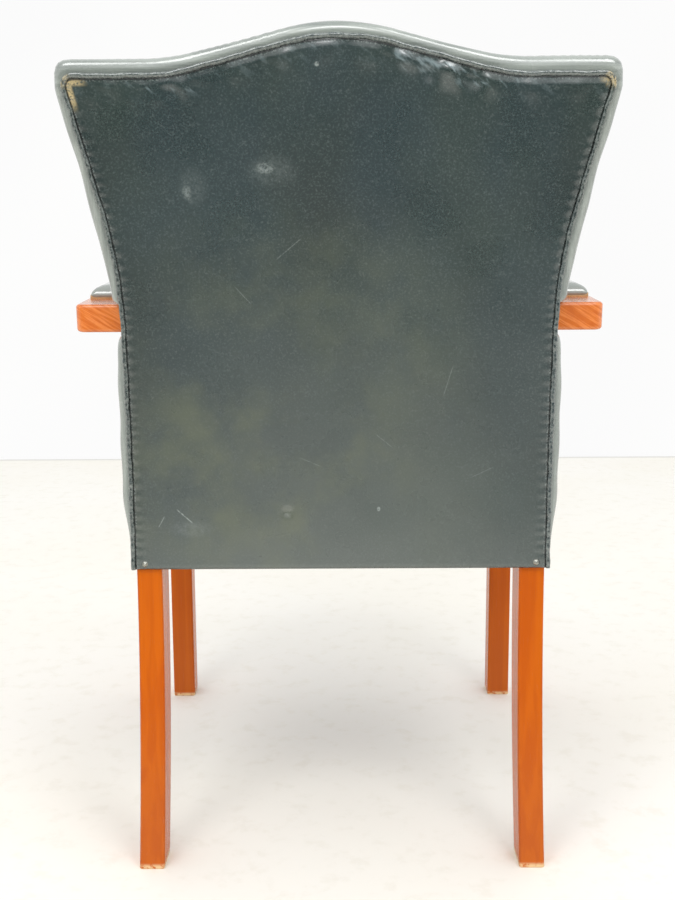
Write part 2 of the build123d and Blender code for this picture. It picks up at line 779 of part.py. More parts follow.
nail_holes = pair(corner_nail(fit))
turn_in = block(
    (sheet_gap - post_inner_x, post_inner_x - sheet_gap),
    (frame_rear.base - dust_cover_margin + soft_gap, 0),
    (leather_bottom, seat_frame_bottom),
)
outside_panel = cut(slab(0, panel_front, outside_rear, leather_bottom) + turn_in, nail_holes)
wadding = cut(slab(0, frame_rear, panel_front, seat_frame_bottom), nail_holes)
welt = slab(welt_width, panel_front, outside_rear.moved(welt_rise), leather_bottom) - slab(0, far_ahead, far_behind, 0)
welt_rear = outside_rear.moved(welt_rise)
welt_edges = [
    e for e in welt.edges()
    if abs(e.center().Y - welt_rear.at(e.center().Z)) < leather / 4 and e.center().Z > leather_bottom + leather
    and e.length > welt_width + leather
]
welt = fillet(welt_edges, welt_width * 0.45)

# Wood with its holes cut
back_fixings = back_dowel_holes + pairs(arm_fixings(fit) + [arm_rear_screw(fit)])
leg_holes = rail_dowel_holes + pairs(block_screw_holes)
rear_post = cut(rear_post, leg_holes + back_fixings + nail_holes)
front_leg = cut(front_leg, leg_holes)
side_rail = cut(side_rail, leg_holes + support_screw_set(fit))
front_rail = cut(front_rail, leg_holes)
rear_rail = cut(rear_rail, leg_holes)
crest_rail = cut(crest_rail, back_dowel_holes)
lower_rail = cut(lower_rail, back_dowel_holes)
front_block = cut(corner_block(front_corner, -1, 1), [front_leg] + block_screw_holes)
rear_block = cut(corner_block(rear_corner, -1, -1), [rear_post] + block_screw_holes)

nodes = {
    "seat_rail_front": [front_rail],
    "seat_rail_rear": [rear_rail],
    "corner_blocks": pairs([front_block, rear_block]),
    "corner_block_screws": pairs(block_screws),
    "rail_dowels": pairs(rail_dowel_set()),
    "crest_rail": [crest_rail],
    "back_lower_rail": [lower_rail],
    "back_rail_dowels": pairs(back_dowel_set()),
    "arm_dowels": pairs(arm_fixings()),
    "arm_rear_screws": pair(arm_rear_screw()),
    "arm_support_screws": pairs(support_screw_set()),
    "arm_pad_screws": pairs(pad_screw_set()),
    "seat_webbing_lengthwise": seat_lengthwise,
    "seat_webbing_crosswise": seat_crosswise,
    "seat_hessian": [seat_hessian],
    "seat_foam": [seat_foam],
    "seat_cover": [seat_cover],
    "dust_cover": [dust_sheet],
    "back_webbing_upright": back_upright,
    "back_webbing_crosswise": back_crosswise,
    "back_hessian": [back_hessian],
    "back_foam": [back_foam],
    "inside_back_cover": [inside_back_cover],
    "back_buttons": buttons,
    "button_twines": twines,
    "outside_back_wadding": [wadding],
    "outside_back_panel": [outside_panel],
    "back_welt": [welt],
    "back_corner_nails": pair(corner_nail()),
}
sided = {
    "rear_post": rear_post,
    "front_leg": front_leg,
    "seat_rail": side_rail,
    "arm": arm,
    "arm_support": arm_support,
    "arm_pad_board": arm_pad_board,
    "arm_pad_foam": arm_pad_foam,
    "arm_pad_cover": arm_pad_cover,
}
for name, shape in sided.items():
    left, right = pair(shape)
    nodes[name + "_left"] = [left]
    nodes[name + "_right"] = [right]

solids = {name: [solid for shape in shapes for solid in shape.solids()] for name, shapes in nodes.items()}
limits = [solid.bounding_box() for group in solids.values() for solid in group]
middle_y = (min(box.min.Y for box in limits) + max(box.max.Y for box in limits)) / 2
print("rear face of the outside back at seat height lies at y =", round(-middle_y, 3))
for name, group in solids.items():
    placed = [Pos(0, -middle_y, 0) * solid for solid in group]
    export_step(placed[0] if len(placed) == 1 else Compound(placed), os.path.join("parts", name + ".step"))
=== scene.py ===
import math

import bmesh
import bpy
import numpy as np
from mathutils import Matrix, Vector


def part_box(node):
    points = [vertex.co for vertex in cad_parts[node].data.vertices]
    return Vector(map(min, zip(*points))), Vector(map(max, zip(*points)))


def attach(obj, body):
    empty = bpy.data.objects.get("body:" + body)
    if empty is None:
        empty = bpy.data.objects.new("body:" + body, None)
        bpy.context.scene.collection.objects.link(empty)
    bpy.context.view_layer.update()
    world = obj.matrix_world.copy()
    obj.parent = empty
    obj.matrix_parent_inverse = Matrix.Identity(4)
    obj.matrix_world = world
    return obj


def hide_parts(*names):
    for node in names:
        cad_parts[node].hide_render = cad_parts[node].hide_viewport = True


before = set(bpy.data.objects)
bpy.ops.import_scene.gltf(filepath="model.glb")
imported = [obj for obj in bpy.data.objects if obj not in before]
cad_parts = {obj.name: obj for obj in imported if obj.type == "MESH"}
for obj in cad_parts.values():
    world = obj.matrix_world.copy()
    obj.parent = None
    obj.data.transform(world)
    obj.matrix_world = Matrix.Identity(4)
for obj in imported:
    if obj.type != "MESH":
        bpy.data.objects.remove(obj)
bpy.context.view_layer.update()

# The chair's own sizes in metres, as it was built. It faces -Y and stands on z = 0.
SEAT_BOTTOM = 0.360
LEAN_START = 0.430
CREST = 0.9415
EAR_Z = 0.9045
HALF_WIDTH = 0.242
EAR_HALF_WIDTH = 0.288
EAR_CORNER = 0.008
FLARE_START = 0.640
FLARE_ANGLE = math.radians(13.2)
CREST_RADIUS = 0.230
DIP_RADIUS = 0.216
DIP_HALF_SPAN = 0.204
LEG_SWEEP = 0.047
BACK_LEAN = 0.080
CUSHION_LEAN = 0.108
BACK_THICKNESS = 0.112
LEATHER = 0.002
WADDING = 0.003
WELT = 0.0052
SIDE_PADDING = 0.0135
TOP_PADDING = 0.0180
EAR_PADDING = 0.0212
BAND_START = -0.006
FRONT_ROUNDING = 0.018
REAR_ROUNDING_SHARE = 0.62

# Arms: boards that rise and spread forwards from beside the posts
ARM_TOP = 0.6688
ARM_DEPTH = 0.032
ARM_LENGTH = 0.440
ARM_WIDTH = 0.061
ARM_BOW = 0.003
ARM_TILT = math.radians(3.5)
ARM_FLARE = math.tan(math.radians(3.0))
ARM_GAP = 0.0012

# Seat: the top of its crown
SEAT_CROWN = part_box("seat_cover")[1][2]
SEAT_CROWN_RADIUS = 2.0

# Rear face of the outside back at seat height, and what lies a measured way in front of it
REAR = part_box("outside_back_wadding")[0][1] + WADDING + LEATHER
POST_AHEAD = 0.057
ARM_AHEAD = 0.006
LEG_AHEAD = 0.509
SEAT_CROWN_AHEAD = 0.330
POST_FRONT = REAR - POST_AHEAD
ARM_REAR = REAR - ARM_AHEAD
LEG_REAR = REAR - LEG_AHEAD
SEAT_CROWN_Y = REAR - SEAT_CROWN_AHEAD
TINY = 1e-9


def bow(run, rise, distance):
    """How far an arc that leaves its tangent by run over rise has left it after distance."""
    radius = (rise**2 + run**2) / (2 * run)
    return radius - np.sqrt(radius**2 - distance**2)


def side_curve(z, base, lean):
    """A face of the back in side view, upright at the seat, leaning back above it and swept back below it."""
    above = bow(lean, CREST - LEAN_START, np.clip(z - LEAN_START, 0.0, None))
    below = bow(LEG_SWEEP, SEAT_BOTTOM, np.clip(SEAT_BOTTOM - z, 0.0, SEAT_BOTTOM))
    return REAR + base + above + below


def rear_y(z):
    return side_curve(z, 0.0, BACK_LEAN)


def front_y(z):
    return side_curve(z, -BACK_THICKNESS, CUSHION_LEAN)


def ease(value, low, high):
    """Smooth step from 0 at low to 1 at high."""
    t = np.clip((value - low) / (high - low), 0.0, 1.0)
    return t * t * (3 - 2 * t)


def bell(value, width):
    return np.exp(-((value / width) ** 2))


class Outline:
    """Rear-view outline of the back: 0 to 1 up the +X side, 1 to 2 along the top, 2 to 3 down the -X side."""

    STEPS = 160

    def __init__(self, bottom):
        turns = np.linspace(0.0, 1.0, self.STEPS)
        rise, spread = EAR_Z - FLARE_START, EAR_HALF_WIDTH - HALF_WIDTH
        sine, cosine, tangent = math.sin(FLARE_ANGLE), math.cos(FLARE_ANGLE), math.tan(FLARE_ANGLE)
        flare = (rise * tangent - spread) / (sine * tangent - 1 + cosine)
        angle = FLARE_ANGLE * turns
        side = [(HALF_WIDTH, z) for z in np.linspace(bottom, FLARE_START, self.STEPS)]
        side += list(zip(HALF_WIDTH + flare * (1 - np.cos(angle)), FLARE_START + flare * np.sin(angle)))
        turn = math.pi / 2 + FLARE_ANGLE
        cut = EAR_CORNER * math.tan(turn / 2)
        start = np.array((EAR_HALF_WIDTH - sine * cut, EAR_Z - cosine * cut))
        centre = start + EAR_CORNER * np.array((-cosine, sine))
        corner = [
            tuple(centre + EAR_CORNER * np.array((math.cos(a), math.sin(a))))
            for a in np.linspace(-FLARE_ANGLE, math.pi / 2, self.STEPS)
        ]
        half = self.STEPS // 2
        side += corner[:half]
        radii = CREST_RADIUS + DIP_RADIUS
        fall = radii - (CREST - EAR_Z)
        peak = math.atan2(DIP_HALF_SPAN, fall) - math.acos(radii / math.hypot(fall, DIP_HALF_SPAN))
        angle = peak * turns
        dip = list(zip(DIP_HALF_SPAN - DIP_RADIUS * np.sin(angle), EAR_Z + DIP_RADIUS * (1 - np.cos(angle))))
        angle = angle[::-1]
        crest = list(zip(CREST_RADIUS * np.sin(angle), CREST - CREST_RADIUS * (1 - np.cos(angle))))
        top = corner[half - 1:] + dip + crest
        top += [(-x, z) for x, z in reversed(top[:-1])]
        other = [(-x, z) for x, z in reversed(side)]
        self.parts = [self.measured(part) for part in (side, top, other)]

    @staticmethod
    def measured(points):
        """Even line of points with its lengths and outward normals."""
        line = np.array(points)
        gaps = np.hypot(*np.diff(line, axis=0).T)
        line = line[np.concatenate(([True], gaps > 1e-7))]
        lengths = np.concatenate(([0.0], np.cumsum(np.hypot(*np.diff(line, axis=0).T))))
        tangent = np.gradient(line, lengths, axis=0)
        normal = np.stack((tangent[:, 1], -tangent[:, 0]), axis=1)
        normal /= np.linalg.norm(normal, axis=1)[:, None]
        return line, lengths / lengths[-1], normal, lengths[-1]

    def at(self, s, grow=0.0):
        """Points and normals at places along the outline, moved out by a margin."""
        s = np.asarray(s, dtype=float)
        x, z, nx, nz = (np.zeros_like(s) for _ in range(4))
        for index, (line, lengths, normal, _) in enumerate(self.parts):
            here = (s > index) & (s <= index + 1) | (s == 0) & (index == 0)
            for target, values in ((x, line[:, 0]), (z, line[:, 1]), (nx, normal[:, 0]), (nz, normal[:, 1])):
                target[here] = np.interp(s[here] - index, lengths, values)
        return x + grow * nx, z + grow * nz, nx, nz

    def inside(self, u, v, grow=0.0):
        """A point within the outline: u across from the +X side, v up from the bottom."""
        left = self.at(v, grow)[:2]
        right = self.at(3 - v, grow)[:2]
        top = self.at(1 + np.clip(u, TINY, 1.0), grow)[:2]
        ends = [self.at(np.full_like(u, s), grow)[:2] for s in (0.0, 3.0, 1.0, 2.0)]
        found = []
        for axis in (0, 1):
            base = ends[0][axis] * (1 - u) + ends[1][axis] * u
            corners = (1 - v) * base + v * (ends[2][axis] * (1 - u) + ends[3][axis] * u)
            found.append((1 - u) * left[axis] + u * right[axis] + (1 - v) * base + v * top[axis] - corners)
        return found

    def seam_distances(self, x, z):
        """How far a place on the back lies from the side seam and from the top seam."""
        side, top = self.parts[0][0], self.parts[1][0][::-1]
        return np.interp(z, side[:, 1], side[:, 0]) - np.abs(x), np.interp(x, top[:, 0], top[:, 1]) - z

    def spread(self, pitch):
        """Even places all the way along the outline, about a pitch apart."""
        counts = [round(part[3] / pitch) for part in self.parts]
        places = [index + (np.arange(count) + 0.5) / count for index, count in enumerate(counts)]
        return np.concatenate(places)


FOOT = SEAT_BOTTOM - LEATHER
outline = Outline(FOOT)


def waves(x, y, z, scale, seed, octaves=3):
    """Smooth uneven field of about unit height, from a few seeded sine waves."""
    rng = np.random.default_rng(seed)
    total = np.zeros_like(x)
    for octave in range(octaves):
        for _ in range(4):
            way = rng.normal(size=3)
            way *= scale * 2**octave / np.linalg.norm(way)
            total += np.sin(x * way[0] + y * way[1] + z * way[2] + rng.uniform(0, 2 * math.pi)) / 2**octave
    return total / 3


def coords(mesh):
    values = np.empty(len(mesh.vertices) * 3)
    mesh.vertices.foreach_get("co", values)
    return values.reshape(-1, 3)


def place(obj, points):
    obj.data.vertices.foreach_set("co", np.asarray(points, dtype=float).ravel())
    obj.data.update()


def mesh_of(name, shape):
    """Turns a bmesh into a mesh, and frees it."""
    mesh = bpy.data.meshes.new(name)
    shape.to_mesh(mesh)
    shape.free()
    return mesh


def linked(name, data):
    """A new object of the scene that shows a mesh, a lamp or a camera."""
    made = bpy.data.objects.new(name, data)
    bpy.context.scene.collection.objects.link(made)
    return made


def shade_smooth(piece):
    for face in piece.data.polygons:
        face.use_smooth = True


def make(name, shape, material):
    """Turns a bmesh into a piece of the chair that rides on its frame."""
    piece = linked(name, mesh_of(name, shape))
    piece.data.materials.append(material)
    shade_smooth(piece)
    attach(piece, "root")
    return piece


def grid(columns, rows, placed):
    """A bmesh grid whose vertices are placed by a function of u and v, both from 0 to 1."""
    shape = bmesh.new()
    bmesh.ops.create_grid(shape, x_segments=columns, y_segments=rows, size=0.5)
    flat = np.array([vert.co[:2] for vert in shape.verts]) + 0.5
    points = np.stack(placed(flat[:, 0], flat[:, 1]), axis=1)
    for vert, point in zip(shape.verts, points):
        vert.co = point
    return shape


def joined(shape, other):
    """Adds another bmesh to a bmesh, and merges the vertices that they share."""
    mesh = mesh_of("joined", other)
    shape.from_mesh(mesh)
    bpy.data.meshes.remove(mesh)
    bmesh.ops.remove_doubles(shape, verts=shape.verts, dist=1e-5)


def outwards(shape):
    """Turns all faces of an open or closed shell away from its middle."""
    bmesh.ops.recalc_face_normals(shape, faces=shape.faces)
    middle = sum((vert.co for vert in shape.verts), Vector()) / len(shape.verts)
    if sum(face.normal.dot(face.calc_center_median() - middle) for face in shape.faces) < 0:
        bmesh.ops.reverse_faces(shape, faces=shape.faces)


def measure(piece, name, values):
    """Keeps one number for each vertex, which the piece's material reads."""
    piece.data.attributes.new(name, "FLOAT", "POINT").data.foreach_set("value", values)


def thicken(piece, thickness, offset):
    """Gives a sheet its thickness: offset is 1 along its normals, -1 against them, and 0 both ways."""
    modifier = piece.modifiers.new("thickness", "SOLIDIFY")
    modifier.thickness = thickness
    modifier.offset = offset


def new_verts(made):
    """The vertices among what a bmesh tool has made."""
    return [part for part in made["geom"] if isinstance(part, bmesh.types.BMVert)]


def open_edges(shape, belongs=lambda ends: True):
    """The open edges of a shell, or those whose two ends, taken together, belong to a rim."""
    return [edge for edge in shape.edges if edge.is_boundary and belongs([vert.co for vert in edge.verts])]


class Term:
    """A shader value or colour that plain expressions can work on."""

    def __init__(self, finish, socket):
        self.finish = finish
        self.socket = socket

    def sum_of(self, operation, *values):
        return self.finish.node("ShaderNodeMath", {"operation": operation}, dict(enumerate(values)))

    def __add__(self, other):
        return self.sum_of("ADD", self, other)

    def __sub__(self, other):
        return self.sum_of("SUBTRACT", self, other)

    def __rsub__(self, other):
        return self.sum_of("SUBTRACT", other, self)

    def __mul__(self, other):
        return self.sum_of("MULTIPLY", self, other)

    def __truediv__(self, other):
        return self.sum_of("DIVIDE", self, other)

    def __pow__(self, other):
        return self.sum_of("POWER", self, other)

    def __abs__(self):
        return self.sum_of("ABSOLUTE", self)

    __radd__ = __add__
    __rmul__ = __mul__

    def most(self, other):
        return self.sum_of("MAXIMUM", self, other)

    def least(self, other):
        return self.sum_of("MINIMUM", self, other)

    def sine(self):
        return self.sum_of("SINE", self)

    def ramp(self, low, high, start=0.0, end=1.0):
        """The value eased from start at low to end at high."""
        settings = {"interpolation_type": "SMOOTHSTEP"}
        return self.finish.node("ShaderNodeMapRange", settings, {0: self, 1: low, 2: high, 3: start, 4: end})


class Finish:
    """One procedural material."""

    def __init__(self, name, **constants):
        self.material = bpy.data.materials.new(name)
        self.material.use_nodes = True
        self.tree = self.material.node_tree
        self.shader = self.tree.nodes["Principled BSDF"]
        self.set(**constants)
        self.place = self.node("ShaderNodeTexCoord", {}, {}, "Object")

    def node(self, kind, settings, sockets, output=0):
        """Adds a node: its settings first, then the values or links of its sockets."""
        made = self.tree.nodes.new(kind)
        for key, value in settings.items():
            setattr(made, key, value)
        for key, value in sockets.items():
            self.feed(made.inputs[key], value)
        return Term(self, made.outputs[output])

    def feed(self, socket, value):
        """Links a shader value to a socket, or sets a plain one there."""
        if isinstance(value, Term):
            self.tree.links.new(value.socket, socket)
        else:
            socket.default_value = value

    def axes(self):
        return [self.node("ShaderNodeSeparateXYZ", {}, {0: self.place}, axis) for axis in "XYZ"]

    def stretched(self, scales, turn=(0.0, 0.0, 0.0)):
        """The place turned first and stretched after that."""
        turned = self.node("ShaderNodeMapping", {}, {"Vector": self.place, "Rotation": turn})
        return self.node("ShaderNodeMapping", {}, {"Vector": turned, "Scale": scales})

    def noise(self, scale, detail=3.0, rough=0.5, where=None, twist=0.0):
        sockets = {"Vector": where or self.place, "Scale": scale, "Detail": detail, "Roughness": rough}
        return self.node("ShaderNodeTexNoise", {}, {**sockets, "Distortion": twist}, "Fac")

    def cells(self, scale, feature="F1"):
        sockets = {"Vector": self.place, "Scale": scale}
        return self.node("ShaderNodeTexVoronoi", {"feature": feature}, sockets, "Distance")

    def mix(self, factor, first, second):
        """Two colours mixed by a value."""
        colours = [value if isinstance(value, Term) else (*value, 1.0) for value in (first, second)]
        return self.node("ShaderNodeMix", {"data_type": "RGBA"}, {0: factor, 6: colours[0], 7: colours[1]}, 2)

    def streaks(self, scales, detail, rough, turn=(0.0, 0.0, 0.0), twist=0.0):
        """Noise drawn out by its own scale along each axis."""
        return self.noise(1.0, detail, rough, self.stretched(scales, turn), twist)

    def measured(self, name):
        """A number that a piece keeps for each vertex."""
        return self.node("ShaderNodeAttribute", {"attribute_name": name}, {}, "Fac")

    def spot(self, x, z, width, height):
        """A soft mask round a place on the outside back, 1 in its middle."""
        across, _, up = self.axes()
        reach = ((across - x) / width) ** 2 + ((up - z) / height) ** 2
        return reach.ramp(0.0, 1.0, 1.0, 0.0)

    def set(self, **sockets):
        for name, value in sockets.items():
            self.feed(self.shader.inputs[name.replace("_", " ")], value)

    def finished(self, colour, rough, relief, depth):
        """Sets the colour, the roughness and a relief of some depth, and gives the material."""
        raised = self.node("ShaderNodeBump", {}, {"Height": relief, "Distance": depth, "Strength": 1.0})
        self.set(Base_Color=colour, Roughness=rough, Normal=raised)
        return self.material


def srgb(*seen_parts):
    """A colour as it is seen, from 0 to 255, as the shader wants it."""
    shares = [part / 255 for part in seen_parts]
    return tuple(((share + 0.055) / 1.055) ** 2.4 if share > 0.04 else share / 12.92 for share in shares)


# Leather: dark blue-green, waxed and polished, with a fine pebble, soft clouds and worn corners
LEATHER_DARK = srgb(14, 32, 33)
LEATHER_MID = srgb(28, 46, 46)
LEATHER_LIGHT = srgb(46, 63, 57)
LEATHER_DEEP = srgb(22, 34, 34)
LEATHER_BLUE = srgb(28, 50, 60)
LEATHER_OLIVE = srgb(94, 100, 78)
# Painted light: the lighter colour that the outside back is painted towards its bottom
LEATHER_PAINTED_LIGHT = srgb(98, 104, 96)
# Painted reflection: the pale colour painted over the border, the arm pads and the welt where they catch the
# light
LEATHER_PAINTED_SHEEN = srgb(176, 184, 176)
LEATHER_WORN = srgb(190, 172, 128)
LEATHER_CHALK = srgb(168, 178, 174)
# Painted highlight on the crinkles under the top seam of the outside back
LEATHER_CRINKLE_HIGHLIGHT = srgb(150, 168, 172)
# Painted shade in the seams of the outside back
LEATHER_SEAM_SHADE = srgb(16, 22, 22)
PEBBLE = 0.00012


def leather_finish(name, polish, gleam):
    """A waxed finish: how rough its polish is, and how strongly it gleams."""
    return Finish(name, IOR=1.5, Coat_Weight=1.0, Coat_Roughness=polish, Coat_IOR=gleam)


def leather_colour(finish):
    """Softly clouded colour of old polished leather, bluer in places and speckled by its grain."""
    clouds = finish.noise(5.0, 3.0, 0.5)
    tints = finish.noise(3.2, 3.0, 0.5, finish.stretched((1.6, 1.6, 0.6)))
    grain = finish.noise(420.0, 4.0, 0.7)
    colour = finish.mix(clouds.ramp(0.30, 0.70), LEATHER_DARK, LEATHER_LIGHT)
    colour = finish.mix(0.45, colour, LEATHER_MID)
    colour = finish.mix(tints.ramp(0.44, 0.62) * 0.45, colour, LEATHER_BLUE)
    colour = finish.mix(grain.ramp(0.45, 0.75) * 0.45, colour, LEATHER_DEEP)
    return finish.mix(grain.ramp(0.52, 0.25) * 0.14, colour, LEATHER_CHALK)


def leather_relief(finish):
    """Fine pebble of the grain."""
    return finish.cells(700.0, "SMOOTH_F1") * 0.5 + finish.noise(500.0, 4.0, 0.65) * 0.5


def soft_leather(name, rough, polish=0.24, paler=None):
    """Polished leather of the padded pieces, and how much paler it is painted at each place, as a painted
    reflection.
    """
    finish = leather_finish(name, polish, 1.9)
    colour = leather_colour(finish)
    # Painted reflection: the leather is painted paler where the mask says
    if paler:
        colour = finish.mix(paler(finish), colour, LEATHER_PAINTED_SHEEN)
    smears = finish.noise(16.0, 4.0, 0.6).ramp(0.3, 0.7, rough - 0.05, rough + 0.10)
    return finish.finished(colour, smears, leather_relief(finish), PEBBLE)


def border_painted_sheen(finish):
    """The border is painted pale where it shows from behind, as a painted reflection of the bright room,
    streaked along its sides and its top.
    """
    _, along, up = finish.axes()
    above = (up - LEAN_START).most(0.0)
    forward = above * above * (BACK_LEAN / ((CREST - LEAN_START) ** 2 + BACK_LEAN**2)) + REAR - along
    level = finish.streaks((7.0, 90.0, 200.0), 4.0, 0.6)
    upright = finish.streaks((200.0, 90.0, 7.0), 4.0, 0.6)
    high = up.ramp(EAR_Z - 0.020, EAR_Z - 0.012)
    streaks = level * high + upright * (1.0 - high)
    return (streaks.ramp(0.30, 0.70) * 0.30 + 0.36) * forward.ramp(0.070, 0.030)


# Scuffs on the outside back: place across and up, half width and half height, strength
SCUFFS = (
    (0.079, 0.815, 0.012, 0.007, 0.40),
    (0.072, 0.812, 0.034, 0.020, 0.10),
    (0.165, 0.790, 0.006, 0.009, 0.28),
    (0.158, 0.796, 0.020, 0.026, 0.08),
    (0.022, 0.917, 0.003, 0.003, 0.70),
    (-0.045, 0.430, 0.0024, 0.0032, 1.00),
    (0.175, 0.407, 0.030, 0.012, 0.10),
)

# Scratches on the outside back: one end, the other end, half width, strength
SCRATCHES = (
    (0.193, 0.432, 0.172, 0.413, 0.0011, 0.55),
    (0.205, 0.424, 0.214, 0.408, 0.0010, 0.35),
    (0.040, 0.742, 0.072, 0.716, 0.0009, 0.22),
    (0.118, 0.690, 0.098, 0.668, 0.0008, 0.20),
    (-0.130, 0.600, -0.118, 0.560, 0.0008, 0.18),
    (-0.040, 0.520, -0.062, 0.502, 0.0008, 0.20),
    (-0.180, 0.480, -0.150, 0.466, 0.0008, 0.16),
    (0.020, 0.480, 0.048, 0.492, 0.0008, 0.18),
)


def scratch_mask(finish):
    """Thin straight scratches across the outside back."""
    across, _, up = finish.axes()
    total = 0.0
    for x, z, end_x, end_z, width, weight in SCRATCHES:
        run, rise = end_x - x, end_z - z
        length = math.hypot(run, rise)
        along = ((across - x) * (run / length) + (up - z) * (rise / length)) / length
        aside = abs((across - x) * (rise / length) - (up - z) * (run / length))
        ends = abs(along - 0.5).ramp(0.5, 0.3)
        total = aside.ramp(width, 0.0) * ends * weight + total
    return total


def panel_leather():
    """The outside back: the same leather with its seams, scuffs, scratches and faded patches, painted lighter
    towards its bottom and middle as painted light, with painted highlights on the crinkles under its top seam
    and painted shade along its seams.
    """
    finish = leather_finish("outside_back_leather", 0.20, 1.6)
    side, top = finish.measured("side_seam"), finish.measured("top_seam")
    up = finish.axes()[2]
    colour = leather_colour(finish)
    # Painted light: the panel is painted lighter towards its bottom and its middle, where more light falls on
    # it
    middle = finish.spot(0.0, 0.44, 0.22, 0.40) * 0.45 + 0.55
    colour = finish.mix(up.ramp(0.86, 0.40) * middle * 0.52, colour, LEATHER_PAINTED_LIGHT)
    olive = finish.noise(9.0, 4.0, 0.6).ramp(0.40, 0.66)
    paler = (finish.spot(0.10, 0.46, 0.20, 0.15) + finish.spot(0.05, 0.60, 0.24, 0.22) * 0.6).least(1.0)
    colour = finish.mix(olive * paler * 0.55, colour, LEATHER_OLIVE)
    scuffs = finish.noise(240.0, 5.0, 0.7).ramp(0.30, 0.62)
    marks = 0.0
    for x, z, width, height, weight in SCUFFS:
        marks = finish.spot(x, z, width, height) * weight + marks
    colour = finish.mix((marks * scuffs).least(1.0), colour, LEATHER_CHALK)
    scratches = scratch_mask(finish) * finish.noise(300.0, 3.0, 0.6).ramp(0.30, 0.50)
    colour = finish.mix(scratches.least(1.0), colour, LEATHER_CHALK)
    creased = finish.streaks((45.0, 45.0, 130.0), 3.0, 0.55, (0.0, 0.7, 0.0), 0.3)
    # Painted highlights: the crinkles under the top seam are painted pale where they catch the light
    crinkle_highlights = creased.ramp(0.50, 0.70) * top.ramp(0.030, 0.004) * crinkle_highlight_spread(finish)
    colour = finish.mix(crinkle_highlights * 0.60, colour, LEATHER_CRINKLE_HIGHLIGHT)
    gutter = side.least(top)
    thin = finish.noise(500.0, 3.0, 0.6).ramp(0.50, 0.60) * gutter.ramp(0.0040, 0.0018)
    colour = finish.mix(thin * 0.35, colour, LEATHER_CHALK)
    colour = finish.mix(worn_corners(finish) * gutter.ramp(0.0085, 0.0045), colour, LEATHER_WORN)
    # Painted shade: a dark line painted right along the seams, as the shade in their groove
    colour = finish.mix(gutter.ramp(0.0022, 0.0006) * 0.85, colour, LEATHER_SEAM_SHADE)
    smears = finish.noise(12.0, 4.0, 0.6)
    rough = smears.ramp(0.3, 0.7, 0.24, 0.34) + marks.least(1.0) * 0.15 + scratches * 0.1
    return finish.finished(colour, rough, leather_relief(finish) - scratches * 0.6, 1.5 * PEBBLE)


def crinkle_highlight_spread(finish):
    """How strongly the crinkles under the top seam are painted with highlights from side to side, most of all
    left and right of the crest.
    """
    across = finish.axes()[0]
    right = ((across + 0.115) / 0.085) ** 2
    left = ((across - 0.175) / 0.040) ** 2
    return (right.ramp(0.0, 1.0, 1.0, 0.0) + left.ramp(0.0, 1.0, 0.8, 0.0) + 0.25).least(1.0)


def worn_corners(finish):
    """Where the colour has rubbed off the upper corners of the back."""
    grains = finish.noise(420.0, 5.0, 0.7).ramp(0.36, 0.52)
    left = finish.spot(EAR_HALF_WIDTH - 0.004, EAR_Z - 0.010, 0.024, 0.026)
    right = finish.spot(-EAR_HALF_WIDTH, EAR_Z, 0.018, 0.014)
    return (left + right * 0.7).least(1.0) * grains


def piping_leather():
    """The welt: rubbed at the ears down to the tan of the hide, with pale specks painted on it as highlights.
    """
    finish = leather_finish("welt_leather", 0.14, 1.8)
    rubbed = finish.spot(-EAR_HALF_WIDTH - 0.002, EAR_Z + 0.002, 0.014, 0.018)
    rubbed = (rubbed + finish.spot(EAR_HALF_WIDTH, EAR_Z, 0.010, 0.012) * 0.5).least(1.0)
    grains = finish.noise(300.0, 4.0, 0.65)
    # Painted highlights: pale specks over the welt where its round catches the light
    ridge = finish.mix(grains.ramp(0.35, 0.65) * 0.25, leather_colour(finish), LEATHER_PAINTED_SHEEN)
    colour = finish.mix(rubbed * grains.ramp(0.40, 0.55), ridge, LEATHER_WORN)
    return finish.finished(colour, grains.ramp(0.3, 0.7, 0.20, 0.34), leather_relief(finish), PEBBLE)


# Wood: cherry-stained, with straight grain and a semi-gloss varnish
WOOD_LIGHT = srgb(208, 104, 0)
WOOD_MID = srgb(188, 84, 0)
WOOD_DARK = srgb(142, 52, 0)
# Painted reflection of the pale floor low on the legs
WOOD_PAINTED_SHEEN = srgb(172, 92, 48)
WOOD_BARE = srgb(226, 196, 150)
WOOD_ENDS = srgb(250, 158, 90)


